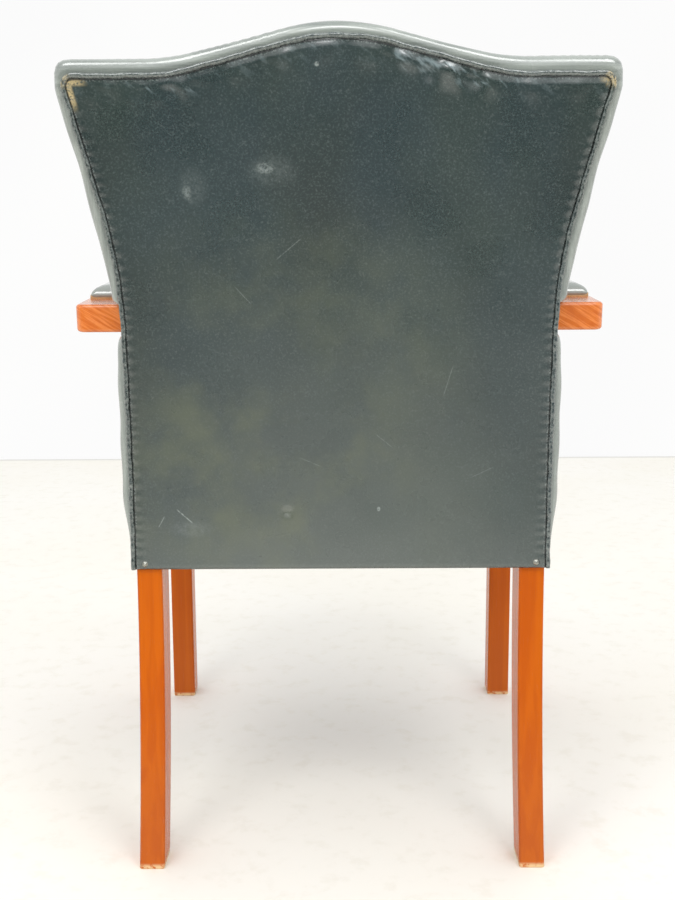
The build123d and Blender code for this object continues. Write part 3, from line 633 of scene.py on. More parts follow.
def stained_wood(name, along, arms=False):
    """Straight-grained wood, its grain along one axis, painted duller towards the floor as a painted
    reflection of it, chipped bare at the floor, and glossier on the arms.
    """
    specular, coat = (0.5, 0.4) if arms else (0.2, 0.0)
    finish = Finish(name, IOR=1.45, Specular_IOR_Level=specular, Coat_Weight=coat, Coat_Roughness=0.12)
    coarse, fine = [110.0] * 3, [800.0] * 3
    coarse[along], fine[along] = 3.0, 22.0
    bands = finish.streaks(coarse, 3.0, 0.5, twist=0.5)
    fibres = finish.streaks(fine, 3.0, 0.6)
    clouds = finish.noise(7.0, 3.0, 0.5)
    colour = finish.mix(bands.ramp(0.35, 0.65) * 0.5, WOOD_MID, WOOD_LIGHT)
    colour = finish.mix(fibres.ramp(0.56, 0.80) * 0.22, colour, WOOD_DARK)
    colour = finish.mix(clouds.ramp(0.40, 0.75) * 0.18, colour, WOOD_DARK)
    up = finish.axes()[2]
    if arms:
        rings = finish.streaks((30.0, 6.0, 520.0), 2.0, 0.5, (0.0, 0.55, 0.0), 0.3)
        colour = finish.mix(rings.ramp(0.40, 0.64) * 0.35 + 0.18, colour, WOOD_ENDS)
    # Painted reflection: the wood is painted duller and paler towards the floor, as the pale floor shows in
    # its gloss
    colour = finish.mix(up.ramp(0.24, 0.02) * 0.35, colour, WOOD_PAINTED_SHEEN)
    chips = finish.noise(160.0, 4.0, 0.65).ramp(0.34, 0.50)
    colour = finish.mix(up.ramp(0.0075, 0.0025) * chips * 0.9, colour, WOOD_BARE)
    return finish.finished(colour, fibres.ramp(0.3, 0.8, 0.20, 0.30), fibres * 0.6 + bands * 0.4, 0.00006)


def raw_wood(name, colour, dark):
    """Plain sawn wood of the hidden frame."""
    finish = Finish(name)
    grain = finish.streaks((60.0, 300.0, 300.0), 4.0, 0.6)
    tone = finish.mix(grain.ramp(0.3, 0.7), dark, colour)
    return finish.finished(tone, grain.ramp(0.3, 0.7, 0.6, 0.8), grain, 0.0002)


def woven(name, colour, dark, thread):
    """Plain weave of coarse threads."""
    finish = Finish(name)
    x, y, z = finish.axes()
    turns = math.pi / thread
    weave = (x * turns).sine() * ((y + z) * turns).sine()
    shade = weave.ramp(-0.8, 0.8) * 0.7 + finish.noise(300.0) * 0.3
    rough = finish.noise(90.0).ramp(0.3, 0.7, 0.8, 0.95)
    return finish.finished(finish.mix(shade, dark, colour), rough, shade, 0.0004)


def foam(name, colour, dark):
    """Open pores of foam and wadding."""
    finish = Finish(name)
    pores = finish.cells(500.0)
    shade = pores.ramp(0.0, 0.6)
    return finish.finished(finish.mix(shade, dark, colour), shade * 0.1 + 0.85, pores, 0.0005)


def metal(name, colour, rough):
    """Plated metal with small dull spots."""
    finish = Finish(name, Metallic=1.0)
    spots = finish.noise(700.0, 4.0, 0.6)
    tint = finish.mix(spots.ramp(0.4, 0.75) * 0.5, colour, srgb(96, 90, 78))
    return finish.finished(tint, spots.ramp(0.3, 0.7, rough - 0.06, rough + 0.12), spots, 0.0001)


PANEL_LEATHER = panel_leather()
BORDER_LEATHER = soft_leather("border_leather", 0.22, paler=border_painted_sheen)
SEAT_LEATHER = soft_leather("cushion_leather", 0.20, 0.14)
WELT_LEATHER = piping_leather()
UPRIGHT_WOOD = stained_wood("upright_stained_wood", 2)
ARM_WOOD = stained_wood("arm_stained_wood", 1, True)
FRAME_WOOD = raw_wood("frame_raw_wood", srgb(214, 186, 146), srgb(180, 146, 104))
DOWEL_WOOD = raw_wood("dowel_beech", srgb(226, 200, 160), srgb(200, 168, 124))
PAD_BOARD = raw_wood("pad_plywood", srgb(208, 178, 134), srgb(172, 138, 98))
WEBBING = woven("jute_webbing", srgb(178, 152, 108), srgb(104, 82, 52), 0.0022)
HESSIAN = woven("hessian_weave", srgb(190, 164, 118), srgb(110, 88, 56), 0.0016)
THREAD = woven("seam_thread", srgb(70, 78, 70), srgb(24, 30, 28), 0.0004)
TWINE = woven("waxed_twine", srgb(196, 178, 138), srgb(140, 120, 84), 0.0008)
CAMBRIC = woven("black_cambric", srgb(34, 34, 36), srgb(12, 12, 14), 0.0009)
FOAM = foam("foam_and_wadding", srgb(232, 224, 196), srgb(196, 184, 150))
STEEL = metal("screw_steel", srgb(170, 170, 166), 0.3)
NAIL = metal("nail_nickel", srgb(158, 160, 152), 0.2)
BUTTON_LEATHER = soft_leather("button_leather", 0.28)


# The outside back: one taut sheet, crinkled a little along its seams and dented once
PANEL_THICKNESS = 0.0016
PANEL_UNDER = 0.0012
PANEL_LIFT = 0.0016
SEAM_SINK = 0.0006
FOOT_SINK = 0.001
SIDE_RISE = 0.007
TOP_RISE = 0.008
SLACK = 0.0010
CRINKLE = 0.0022
CRINKLES_BELOW = 0.012
CRINKLES_SPREAD = 0.013
PUCKER = 0.00025
PUCKER_SPREAD = 0.008
DENT = (0.0617, 0.4267)
DENT_DEPTH = 0.0014
DENT_RADIUS = 0.0045
# Where the panel is drawn into crinkles under its top seam: place across, half width, strength
DRAWN = ((-0.105, 0.055, 1.0), (0.175, 0.030, 0.6))


def back_panel():
    def placed(u, v):
        x, z = outline.inside(u, v, PANEL_UNDER)
        side, top = outline.seam_distances(x, z)
        fill = ease(side, 0.0, SIDE_RISE) * ease(top, 0.0, TOP_RISE)
        slack = SLACK * (waves(x, x, z, 8.0, 3) + 0.2 * waves(x, x, z, 30.0, 5))
        drawn = 0.3 + sum(strength * bell(x - at, width) for at, width, strength in DRAWN)
        crinkle = CRINKLE * waves(x * 1.5, x, z * 0.7, 95.0, 8)
        crinkle *= bell(top - CRINKLES_BELOW, CRINKLES_SPREAD) * drawn
        pucker = PUCKER * np.sin(z * 520 + 2 * np.sin(z * 47)) * bell(side, PUCKER_SPREAD)
        dent = DENT_DEPTH * bell(np.hypot(x - DENT[0], z - DENT[1]), DENT_RADIUS)
        lift = (PANEL_LIFT + slack - dent) * fill - SEAM_SINK + crinkle * ease(top, 0.0, 0.004) + pucker
        foot = ease(z - FOOT, 0.0, 0.003)
        return x, rear_y(z) + lift * foot - FOOT_SINK * (1 - foot), z

    panel = make("outside_back_leather", grid(240, 280, placed), PANEL_LEATHER)
    points = coords(panel.data)
    side, top = outline.seam_distances(points[:, 0], points[:, 2])
    measure(panel, "side_seam", side)
    measure(panel, "top_seam", top)
    thicken(panel, PANEL_THICKNESS, 1.0 if panel.data.polygons[0].normal.y < 0 else -1.0)
    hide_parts("outside_back_panel", "outside_back_wadding")


# The welt and the stitches beside it
WELT_LIFT = 0.0002
WELT_WANDER = 0.0001
STITCH_PITCH = 0.0058
STITCH_SIZE = (0.0016, 0.00032, 0.00032)
STITCH_LIFT = 0.0004
STITCH_SLANT = 0.35
SLOPE_STEP = 0.001


def welt():
    """Piping along both sides and the top, over a cord, with a seam pressed in beside it."""

    def placed(u, v):
        s = u * 3
        angle = v * 2 * math.pi
        wander = WELT_WANDER * (3 * np.sin(s * 57) + 2 * np.sin(s * 131))
        thick = 0.5 * WELT * (1 + 0.05 * np.sin(s * 173) + 0.03 * np.sin(s * 411))
        x, z, _, _ = outline.at(s, 0.5 * WELT + wander + thick * np.cos(angle))
        return x, rear_y(z) + WELT_LIFT + thick * np.sin(angle), z

    shape = grid(1400, 14, placed)
    bmesh.ops.remove_doubles(shape, verts=shape.verts, dist=1e-6)
    bmesh.ops.holes_fill(shape, edges=open_edges(shape), sides=16)
    bmesh.ops.recalc_face_normals(shape, faces=shape.faces)
    piping = make("back_welt_piping", shape, WELT_LEATHER)
    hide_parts("back_welt")


def slope_of(face, z):
    """How far a face of the back leans at a height."""
    return float(face(z + SLOPE_STEP) - face(z - SLOPE_STEP)) / (2 * SLOPE_STEP)


def add_bead(shape, around, up, size, spot, turn):
    """Adds a small round body of some half sizes, turned and set in its place."""
    bead = bmesh.ops.create_uvsphere(shape, u_segments=around, v_segments=up, radius=1.0)["verts"]
    bmesh.ops.scale(shape, vec=size, verts=bead)
    bmesh.ops.transform(shape, matrix=Matrix.Translation(spot) @ turn, verts=bead)


def seam_stitches():
    """Slip stitches that close the panel against the welt."""
    shape = bmesh.new()
    for x, z, nx, nz in zip(*outline.at(outline.spread(STITCH_PITCH), STITCH_LIFT)):
        slant = Matrix.Rotation(-math.atan2(nx, nz) - STITCH_SLANT, 4, "Y")
        turn = Matrix.Rotation(math.atan(slope_of(rear_y, z)), 4, "X") @ slant
        add_bead(shape, 8, 5, STITCH_SIZE, (x, rear_y(z) + STITCH_LIFT, z), turn)
    make("back_seam_stitches", shape, THREAD)


# The inside back: a deep-buttoned front and a padded border that comes round to the welt
SKIRT = 0.446
DRAWN_UP = 0.12
TURNED_IN = 0.010
BUTTON_PITCH_X = 0.115
BUTTON_PITCH_Z = 0.082
LOWEST_BUTTON = 0.545
BUTTON_ROWS = 5
PLEAT_DEPTH = 0.011
TUFT_DEPTH = 0.027
PUFF = 0.047
TUFT_RADIUS = 0.011
EDGE_FOLD = 0.12
LOWER_SPREAD_SHARE = 1.02
UPPER_SPREAD_SHARE = 1.12
SIDE_FOLD = 0.13
SIDE_FOLD_RISE = 0.004


def button_rows():
    rows = []
    for row in range(BUTTON_ROWS):
        count = 4 if row % 2 == 0 else 3
        z = LOWEST_BUTTON + row * BUTTON_PITCH_Z
        rows.append([((index - (count - 1) / 2) * BUTTON_PITCH_X, z) for index in range(count)])
    return rows


BUTTONS = button_rows()


def pleat_families():
    """Folds that lean left, lean right, and run from the outer buttons to the edges."""
    left, right, edge = [], [], []
    for lower, upper in zip(BUTTONS, BUTTONS[1:]):
        for x, z in lower:
            for other_x, other_z in upper:
                if abs(other_x - x) < BUTTON_PITCH_X:
                    (right if other_x > x else left).append(((x, z), (other_x, other_z)))
    for x, z in BUTTONS[0]:
        edge.append(((x, z), (x * LOWER_SPREAD_SHARE, z - EDGE_FOLD)))
    for x, z in BUTTONS[-1]:
        edge.append(((x, z), (x * UPPER_SPREAD_SHARE, z + EDGE_FOLD)))
    for row in BUTTONS[::2]:
        x, z = row[-1]
        for side in (-1, 1):
            edge.append(((side * x, z), (side * (x + SIDE_FOLD), z + SIDE_FOLD_RISE)))
    return left, right, edge


FAMILIES = pleat_families()


def segment_distance(x, z, start, end):
    """Distance to a fold, and how far along it the nearest point lies."""
    dx, dz = end[0] - start[0], end[1] - start[1]
    along = np.clip(((x - start[0]) * dx + (z - start[1]) * dz) / (dx * dx + dz * dz), 0.0, 1.0)
    return np.hypot(x - start[0] - along * dx, z - start[1] - along * dz), along


def tufting(x, z):
    """How deep the leather of the inside back is drawn in at a place."""
    total = np.zeros_like(x)
    for index, family in enumerate(FAMILIES):
        fold = np.zeros_like(x)
        for start, end in family:
            distance, along = segment_distance(x, z, start, end)
            near = np.clip(1 - distance / PUFF, 0.0, 1.0)
            puff = 1 - np.sqrt(1 - near**2)
            fade = 1 - ease(along, 0.25, 1.0) * 0.75 if index == 2 else 1.0
            fold = np.maximum(fold, puff * fade)
        total += PLEAT_DEPTH * fold
    total = np.minimum(total, 2 * PLEAT_DEPTH)
    for row in BUTTONS:
        for bx, bz in row:
            total += (TUFT_DEPTH - 2 * PLEAT_DEPTH) * bell(np.hypot(x - bx, z - bz), TUFT_RADIUS)
    return total


def seat_top(x, y):
    return SEAT_CROWN - (x**2 + (y - SEAT_CROWN_Y) ** 2) / (2 * SEAT_CROWN_RADIUS)


def arm_limits(y, gap):
    """Heights of the underside and the top of an arm, with a gap beyond both."""
    top = ARM_TOP + (ARM_REAR - y) * math.tan(ARM_TILT)
    return top - ARM_DEPTH / math.cos(ARM_TILT) - gap, top + gap


def arm_inner(y):
    return HALF_WIDTH + np.maximum(0.0, POST_FRONT - y) * ARM_FLARE


def settled(z, bottom):
    """Draws the lowest stretch of the cover up to the line where it ends."""
    return z + (bottom - FOOT) * (1 - np.clip((z - FOOT) / DRAWN_UP, 0.0, 1.0))


# Where the side padding swells or gives way: how much, height, half height
SIDE_SWELLS = ((0.0035, 0.755, 0.036), (-0.0015, 0.610, 0.030))
TAPER_SHARE = 0.38
TAPER_START = SEAT_BOTTOM + 0.008
TAPER_END = SEAT_BOTTOM + 0.095
EAR_SQUARENESS = 0.42
# How the width of the border is shared by its turn at the front, its side, its turn at the rear and its tuck
BORDER_SHARES = (0.22, 0.52, 0.18, 0.08)
COVER_GAP = 0.0015
BORDER_GAP = 0.0012
TUCK_GAP = 0.001
WRINKLE = 0.0006
BULGE = 0.0022
RIPPLE = 0.0005
SLOW_RIPPLE = 0.0011
GATHER = 0.0006
TOP_PLEAT = 0.0030
TOP_PLEAT_WIDTH = 0.006
ARM_PINCH_SHARE = 0.30
PINCH_ABOVE = 0.007
PINCH_BELOW = 0.028
SIDEWAYS = 0.7


def padding(s):
    """The outline with the way outwards and the thickness of the padding round it, squarer at the ears."""
    x, z, nx, nz = outline.at(s)
    side = SIDE_PADDING + sum(size * bell(z - at, width) for size, at, width in SIDE_SWELLS)
    side += WRINKLE * np.sin(z * 90)
    side *= TAPER_SHARE + (1 - TAPER_SHARE) * ease(z, TAPER_START, TAPER_END)
    top = TOP_PADDING + (EAR_PADDING - TOP_PADDING) * ease(np.abs(x), 0.09, 0.20)
    even = side * nx**2 + top * nz**2
    corner = ease(np.abs(x), EAR_HALF_WIDTH - 0.016, EAR_HALF_WIDTH - 0.005)
    corner *= ease(z, EAR_Z - 0.020, EAR_Z - 0.004)
    square_x = side * np.sign(nx) * np.abs(nx) ** EAR_SQUARENESS
    square_z = top * np.maximum(nz, 0.0) ** EAR_SQUARENESS
    out = [way * even * (1 - corner) + part * corner for way, part in ((nx, square_x), (nz, square_z))]
    return x, z, nx, nz, out


def inside_back():
    columns, rows, depth = 240, 200, 84
    around = 2 * rows + columns
    quarter = math.pi / 2

    def front_bottom(x):
        return seat_top(x, REAR - BACK_THICKNESS) - COVER_GAP

    def front(u, v):
        x, z = outline.inside(u, v, BAND_START)
        z = settled(z, front_bottom(x))
        calm = ease(np.minimum(u, 1 - u), 0.0, 0.04) * ease(1 - v, 0.0, 0.04)
        wrinkle = WRINKLE * (waves(x, x, z, 60.0, 21) + 2 * waves(x, x, z, 17.0, 22)) * calm
        return x, front_y(z) + tufting(x, z) + wrinkle, z

    def border(u, v):
        index = np.rint(u * around)
        s = np.interp(index, (0, rows, rows + columns, around), (0, 1, 2, 3))
        x0, z0, nx, nz, (out_x, out_z) = padding(s)
        pad = np.hypot(out_x, out_z)
        starts = np.cumsum((0.0, *BORDER_SHARES[:-1]))
        parts = [np.clip((v - start) / share, 0.0, 1.0) for start, share in zip(starts, BORDER_SHARES)]
        first, along, last, tuck = parts[0] * quarter, parts[1], parts[2] * quarter, parts[3]
        rear_round = REAR_ROUNDING_SHARE * pad
        grow = BAND_START + (pad - BAND_START) * np.sin(first) - rear_round * (1 - np.cos(last))
        grow = grow - (pad - rear_round - TUCK_GAP) * tuck

        def at(grow):
            share = np.maximum(grow, 0.0) / pad
            inner = np.minimum(grow, 0.0)
            return x0 + inner * nx + share * out_x, z0 + inner * nz + share * out_z

        x, z = at(grow)
        near, far = front_y(z), rear_y(z) - BORDER_GAP
        y = near + FRONT_ROUNDING * (1 - np.cos(first)) + rear_round * np.sin(last)
        y = y + (far - rear_round - near - FRONT_ROUNDING) * along
        skirt = front_bottom(x) + (SKIRT - front_bottom(x)) * np.clip(first, 0.0, 1.0)
        bottom = np.where(y < POST_FRONT - 0.0005, skirt, FOOT)
        drawn_z = settled(z, np.where(np.abs(nx) > SIDEWAYS, bottom, FOOT))
        bulge = BULGE * np.sin(along * math.pi) * np.where(np.abs(nx) > 0.5, 1.0, 0.6)
        ripple = RIPPLE * waves(x, y * 1.3, z, 55.0, 31) + SLOW_RIPPLE * waves(x, y, z, 19.0, 32)
        gathers = GATHER * np.sin(x * 620 + 3 * np.sin(x * 47)) * ease(waves(x, x, z, 16.0, 33), 0.0, 0.5)
        folds = sum(bell(x0 - bx * UPPER_SPREAD_SHARE, TOP_PLEAT_WIDTH) for bx, _ in BUTTONS[-1])
        pleat = TOP_PLEAT * folds * (nz > 0.5)
        more = (bulge + ripple + gathers * (nz > 0.6)) * np.sin(np.clip(v / 0.9, 0, 1) * math.pi)
        more = (more - pleat * (1 - ease(v, 0.35, 0.8))) * ease(v, 0.0, 0.08)
        low, high = arm_limits(y, ARM_GAP)
        beyond = np.maximum((drawn_z - high) / PINCH_ABOVE, (low - drawn_z) / PINCH_BELOW)
        round_off = np.sqrt(1 - (1 - np.clip(beyond, 0.0, 1.0)) ** 2)
        pinch = np.where(np.abs(nx) > SIDEWAYS, ARM_PINCH_SHARE + (1 - ARM_PINCH_SHARE) * round_off, 1.0)
        pinch = 1 - (1 - pinch) * ease(v, 0.05, 0.20)
        grow = np.where(grow > 0, (grow + more) * pinch, grow + more)
        x, level = at(grow)
        return x, y + tufting(x, drawn_z) * (1 - ease(first, 0.0, 1.2)), drawn_z + level - z

    shape = grid(columns, rows, front)
    joined(shape, grid(around, depth, border))
    outwards(shape)
    open_for_arms(shape)
    turn_in(shape)
    cover = make("inside_back_leather", shape, BORDER_LEATHER)
    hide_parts("inside_back_cover", "back_foam")


# The rims of the cover: round the arms and along the bottom
ARM_BAND = (0.62, 0.70)
ARM_CLEARANCE = 0.005
RIM_REACH = 0.0035
HEM_BELOW = 0.48
RIM_REAR = REAR - 0.0016
INNERMOST = HALF_WIDTH + 0.0006


def drawn_in(vert, distance):
    """Moves a vertex inwards by a distance, but not past the posts."""
    inwards = max(abs(vert.co.x) - distance, INNERMOST)
    vert.co.x = math.copysign(min(inwards, abs(vert.co.x)), vert.co.x)


def open_for_arms(shape):
    """Cuts the border open where the arms pass, and turns the cut edge inwards."""

    def belongs(ends):
        return all(ARM_BAND[0] < co.z < ARM_BAND[1] and co.y < RIM_REAR for co in ends)

    gone = []
    for face in shape.faces:
        x, y, z = face.calc_center_median()
        low, high = arm_limits(y, ARM_GAP)
        if low < z < high and abs(x) > arm_inner(y) + (ARM_CLEARANCE if y > ARM_REAR else 0.0):
            gone.append(face)
    bmesh.ops.delete(shape, geom=gone, context="FACES")
    rim = open_edges(shape, belongs)
    for vert in {vert for edge in rim for vert in edge.verts}:
        low, high = arm_limits(vert.co.y, ARM_GAP)
        nearest = min((low, high), key=lambda level: abs(vert.co.z - level))
        if abs(vert.co.z - nearest) < RIM_REACH:
            vert.co.z = nearest
    for vert in new_verts(bmesh.ops.extrude_edge_only(shape, edges=rim)):
        drawn_in(vert, TURNED_IN)


def turn_in(shape):
    """Turns the lower edges of the cover inwards under the padding."""

    def belongs(ends):
        return all(co.z < HEM_BELOW for co in ends) and min(co.y for co in ends) < RIM_REAR

    for vert in new_verts(bmesh.ops.extrude_edge_only(shape, edges=open_edges(shape, belongs))):
        drawn_in(vert, math.inf)
        if vert.co.y < REAR - BACK_THICKNESS + FRONT_ROUNDING:
            vert.co.y += TURNED_IN


def rounded(corners, radii, steps=8):
    """A closed plan whose corners are rounded by their own radii."""
    line = []
    for index, (corner, radius) in enumerate(zip(corners, radii)):
        here = Vector(corner)
        before = (Vector(corners[index - 1]) - here).normalized()
        after = (Vector(corners[(index + 1) % len(corners)]) - here).normalized()
        half = before.angle(after) / 2
        centre = here + (before + after).normalized() * radius / math.sin(half)
        start = here + before * radius / math.tan(half) - centre
        end = here + after * radius / math.tan(half) - centre
        for step in range(steps + 1):
            spoke = start.lerp(end, step / steps)
            line.append(centre + spoke.normalized() * radius)
    return [(point.x, point.y) for point in line]


def prism(plan, low, high):
    shape = bmesh.new()
    foot = shape.faces.new([shape.verts.new((x, y, low)) for x, y in plan])
    for vert in new_verts(bmesh.ops.extrude_face_region(shape, geom=[foot])):
        vert.co.z = high
    bmesh.ops.recalc_face_normals(shape, faces=shape.faces)
    return shape


def applied(piece):
    """Bakes modifiers into the piece's own mesh."""
    depsgraph = bpy.context.evaluated_depsgraph_get()
    baked = bpy.data.meshes.new_from_object(piece.evaluated_get(depsgraph))
    piece.modifiers.clear()
    old, piece.data = piece.data, baked
    bpy.data.meshes.remove(old)


SWELL_FRAMES = 20
CLOTH_SETTINGS = {
    "quality": 5,
    "mass": 0.3,
    "tension_stiffness": 15.0,
    "compression_stiffness": 15.0,
    "shear_stiffness": 5.0,
    "bending_stiffness": 0.5,
    "use_pressure": True,
    "vertex_group_mass": "held",
}


def smoothed(piece, times):
    """Evens out the mesh of a piece."""
    smooth = piece.modifiers.new("smooth", "SMOOTH")
    smooth.iterations = times
    applied(piece)


def swollen(piece, voxel, cap, held, pressure, smoothing):
    """Remeshes a closed piece, and lets cloth under air pressure swell all of it that isn't held."""
    remesh = piece.modifiers.new("remesh", "REMESH")
    remesh.mode = "VOXEL"
    remesh.voxel_size = voxel
    smoothed(piece, smoothing)
    start = coords(piece.data)
    group = piece.vertex_groups.new(name="held")
    group.add(np.flatnonzero(held(*start.T)).tolist(), 1.0, "REPLACE")
    cloth = piece.modifiers.new("cloth", "CLOTH")
    for key, value in CLOTH_SETTINGS.items():
        setattr(cloth.settings, key, value)
    cloth.settings.uniform_pressure_force = pressure
    cloth.settings.effector_weights.gravity = 0.0
    cloth.point_cache.frame_start = 1
    cloth.point_cache.frame_end = SWELL_FRAMES
    for frame_number in range(1, SWELL_FRAMES + 1):
        bpy.context.scene.frame_set(frame_number)
    applied(piece)
    moved = coords(piece.data) - start
    length = np.linalg.norm(moved, axis=1)
    moved *= np.minimum(1.0, cap / np.maximum(length, TINY))[:, None]
    place(piece, start + moved)
    smoothed(piece, smoothing)
    bpy.context.scene.frame_set(1)
    shade_smooth(piece)
    fine = piece.modifiers.new("fine", "SUBSURF")
    fine.levels = fine.render_levels = 1


# The seat: a crowned leather cushion, its walls taut over the rails and the front legs
SEAT_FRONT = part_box("seat_cover")[0][1]
SEAT_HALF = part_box("seat_cover")[1][0]
SEAT_REAR = POST_FRONT - 0.0006
SEAT_FOOT = FOOT + 0.0005
SEAT_START = 0.003
SEAT_CORNER = 0.026
REAR_MARGIN = 0.004
REAR_CORNER = 0.006
SIDE_BEND = 0.2
RAIL_TOP = SEAT_BOTTOM + 0.070
HEM = 0.012
REAR_HELD = 0.010
CROWN_FADE = 0.004
SEAT_WAVE = 0.0008
OVER_LEG = 0.012
LEG_COVER = 0.003
CORNER_ZONE = 0.040
LEG_ZONE = 0.045
SHOULDER = 0.020
PULL = 0.028
WALL_PULL = 0.040
PULL_FADE = 0.016
FOLD_DEPTH = 0.003
FOLD_WIDTH = 0.006


def seat_plan(inset, corner):
    """The seat's plan, some way inside its walls, with rounded front corners."""
    half, front = SEAT_HALF - inset, SEAT_FRONT + inset
    side = [(HALF_WIDTH + REAR_MARGIN, SEAT_REAR), (half, LEG_REAR), (half, front)]
    corners = side + [(-x, y) for x, y in reversed(side)]
    return rounded(corners, (REAR_CORNER, SIDE_BEND, corner, corner, SIDE_BEND, REAR_CORNER))


def on_plan(x, y, plan):
    """How far places lie from the edge of a closed plan, and the nearest places on that edge."""
    distance = np.full_like(x, np.inf)
    near_x, near_y = x.copy(), y.copy()
    for (from_x, from_y), (to_x, to_y) in zip(plan, plan[1:] + plan[:1]):
        run_x, run_y = to_x - from_x, to_y - from_y
        share = ((x - from_x) * run_x + (y - from_y) * run_y) / max(run_x**2 + run_y**2, TINY**2)
        share = np.clip(share, 0.0, 1.0)
        at_x, at_y = from_x + share * run_x, from_y + share * run_y
        gap = np.hypot(x - at_x, y - at_y)
        closer = gap < distance
        distance[closer], near_x[closer], near_y[closer] = gap[closer], at_x[closer], at_y[closer]
    return distance, near_x, near_y


def corner_runs(x, y, zone):
    """How far places lie past the start of a front corner's zone, both ways, and which of them lie in it."""
    run_x, run_y = np.abs(x) - SEAT_HALF + zone, SEAT_FRONT + zone - y
    return run_x, run_y, (run_x > 0) & (run_y > 0)


def over_corners(x, y, edge_x, edge_y):
    """Nearest places on the plan, but straight out from a point inside each front corner near that corner."""
    run_x, run_y, near = corner_runs(x, y, CORNER_ZONE)
    length = np.maximum(np.hypot(run_x, run_y), TINY)
    most, least = np.maximum(run_x, run_y) / length, np.minimum(run_x, run_y) / length
    inset = CORNER_ZONE - OVER_LEG
    middle = inset * (most + least)
    arc = middle + np.sqrt(np.maximum(middle**2 - 2 * inset**2 + OVER_LEG**2, 0.0))
    straight = CORNER_ZONE / np.maximum(most, TINY)
    out = np.where(CORNER_ZONE * least <= inset * most, straight, arc) / length
    corner_x = np.sign(x) * (SEAT_HALF - CORNER_ZONE + run_x * out)
    corner_y = SEAT_FRONT + CORNER_ZONE - run_y * out
    return np.where(near, corner_x, edge_x), np.where(near, corner_y, edge_y)


def drawn_taut(points, ways):
    """Lays the walls on the plan, keeps the leather over the legs and levels the hem, by its normals."""
    x, y, z = points.T
    depth, *edge = on_plan(x, y, seat_plan(0.0, OVER_LEG))
    edge_x, edge_y = over_corners(x, y, *edge)
    hem = z < SEAT_FOOT + HEM
    level = np.where(hem, ease(np.hypot(ways[:, 0], ways[:, 1]), 0.35, 0.80), 1.0)
    reach = PULL + WALL_PULL * (1 - ease(z, RAIL_TOP, RAIL_TOP + SHOULDER))
    taut = level * (1 - ease(z, RAIL_TOP + 0.002, RAIL_TOP + SHOULDER))
    taut *= 1 - ease(depth, reach - PULL_FADE, reach)
    x += taut * (edge_x - x)
    y += taut * (edge_y - y)
    over_leg = corner_runs(x, y, LEG_ZONE)[2] & (ways[:, 2] > 0.3)
    z[over_leg] = np.maximum(z[over_leg], RAIL_TOP + LEG_COVER)
    z[hem] = SEAT_FOOT + ((z - SEAT_FOOT) * (1 - ease(-ways[:, 2], 0.15, 0.60)))[hem]
    run_x, run_y, near = corner_runs(x, y, SEAT_CORNER)
    fold = FOLD_DEPTH * bell(run_x - run_y, FOLD_WIDTH) * near * ease(z, RAIL_TOP, RAIL_TOP + SHOULDER)
    x -= np.sign(x) * fold
    y += fold


def seat():
    shape = prism(seat_plan(SEAT_START, SEAT_CORNER), SEAT_FOOT, SEAT_CROWN - SEAT_START)
    cushion = make("seat_leather", shape, SEAT_LEATHER)

    def held(x, y, z):
        return (z < SEAT_FOOT + HEM) | (y > SEAT_REAR - REAR_HELD)

    swollen(cushion, 0.006, 0.010, held, 3.0, 8)
    applied(cushion)
    points = coords(cushion.data)
    x, y, z = points.T
    ways = np.empty(points.size)
    cushion.data.vertices.foreach_get("normal", ways)
    x *= SEAT_HALF / np.abs(x).max()
    y[:] = SEAT_REAR + (y - SEAT_REAR) * (SEAT_FRONT - SEAT_REAR) / (y.min() - SEAT_REAR)
    z[:] = SEAT_FOOT + (z - SEAT_FOOT) * (SEAT_CROWN - SEAT_FOOT) / (z.max() - SEAT_FOOT)
    raised = ease(z, SEAT_FOOT + REAR_HELD, SEAT_CROWN - CROWN_FADE)
    z += raised * (seat_top(x, y) - SEAT_CROWN + SEAT_WAVE * waves(x, y, z, 30.0, 41))
    drawn_taut(points, ways.reshape(-1, 3))
    place(cushion, points)
    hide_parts("seat_cover", "seat_foam")


# Arm pads: leather over a low crown of foam
PAD_START = 0.085
PAD_STOP = 0.424
PAD_MARGIN = 0.003
PAD_HEIGHT = 0.017
PAD_REAR = ARM_REAR - PAD_START
PAD_SPINE_START = PAD_START + 0.024
SIDE_STEPS = 24
NOSE_STEPS = 16
PAD_HELD = 0.25


def pad_painted_sheen(finish):
    """The arm pads are painted pale as a painted reflection, most of all at their rear ends."""
    along = finish.axes()[1]
    return along.ramp(PAD_REAR - 0.070, PAD_REAR - 0.010) * 0.35 + 0.25


PAD_LEATHER = soft_leather("pad_painted_sheen_leather", 0.24, 0.14, pad_painted_sheen)
# Section of a pad: how far in from its edge towards its spine, and how high, as shares
PAD_SHARES = (
    (0.05, 0.0), (0.0, 0.14), (0.015, 0.34), (0.07, 0.52),
    (0.22, 0.72), (0.45, 0.90), (0.75, 0.98), (1.0, 1.0),
)


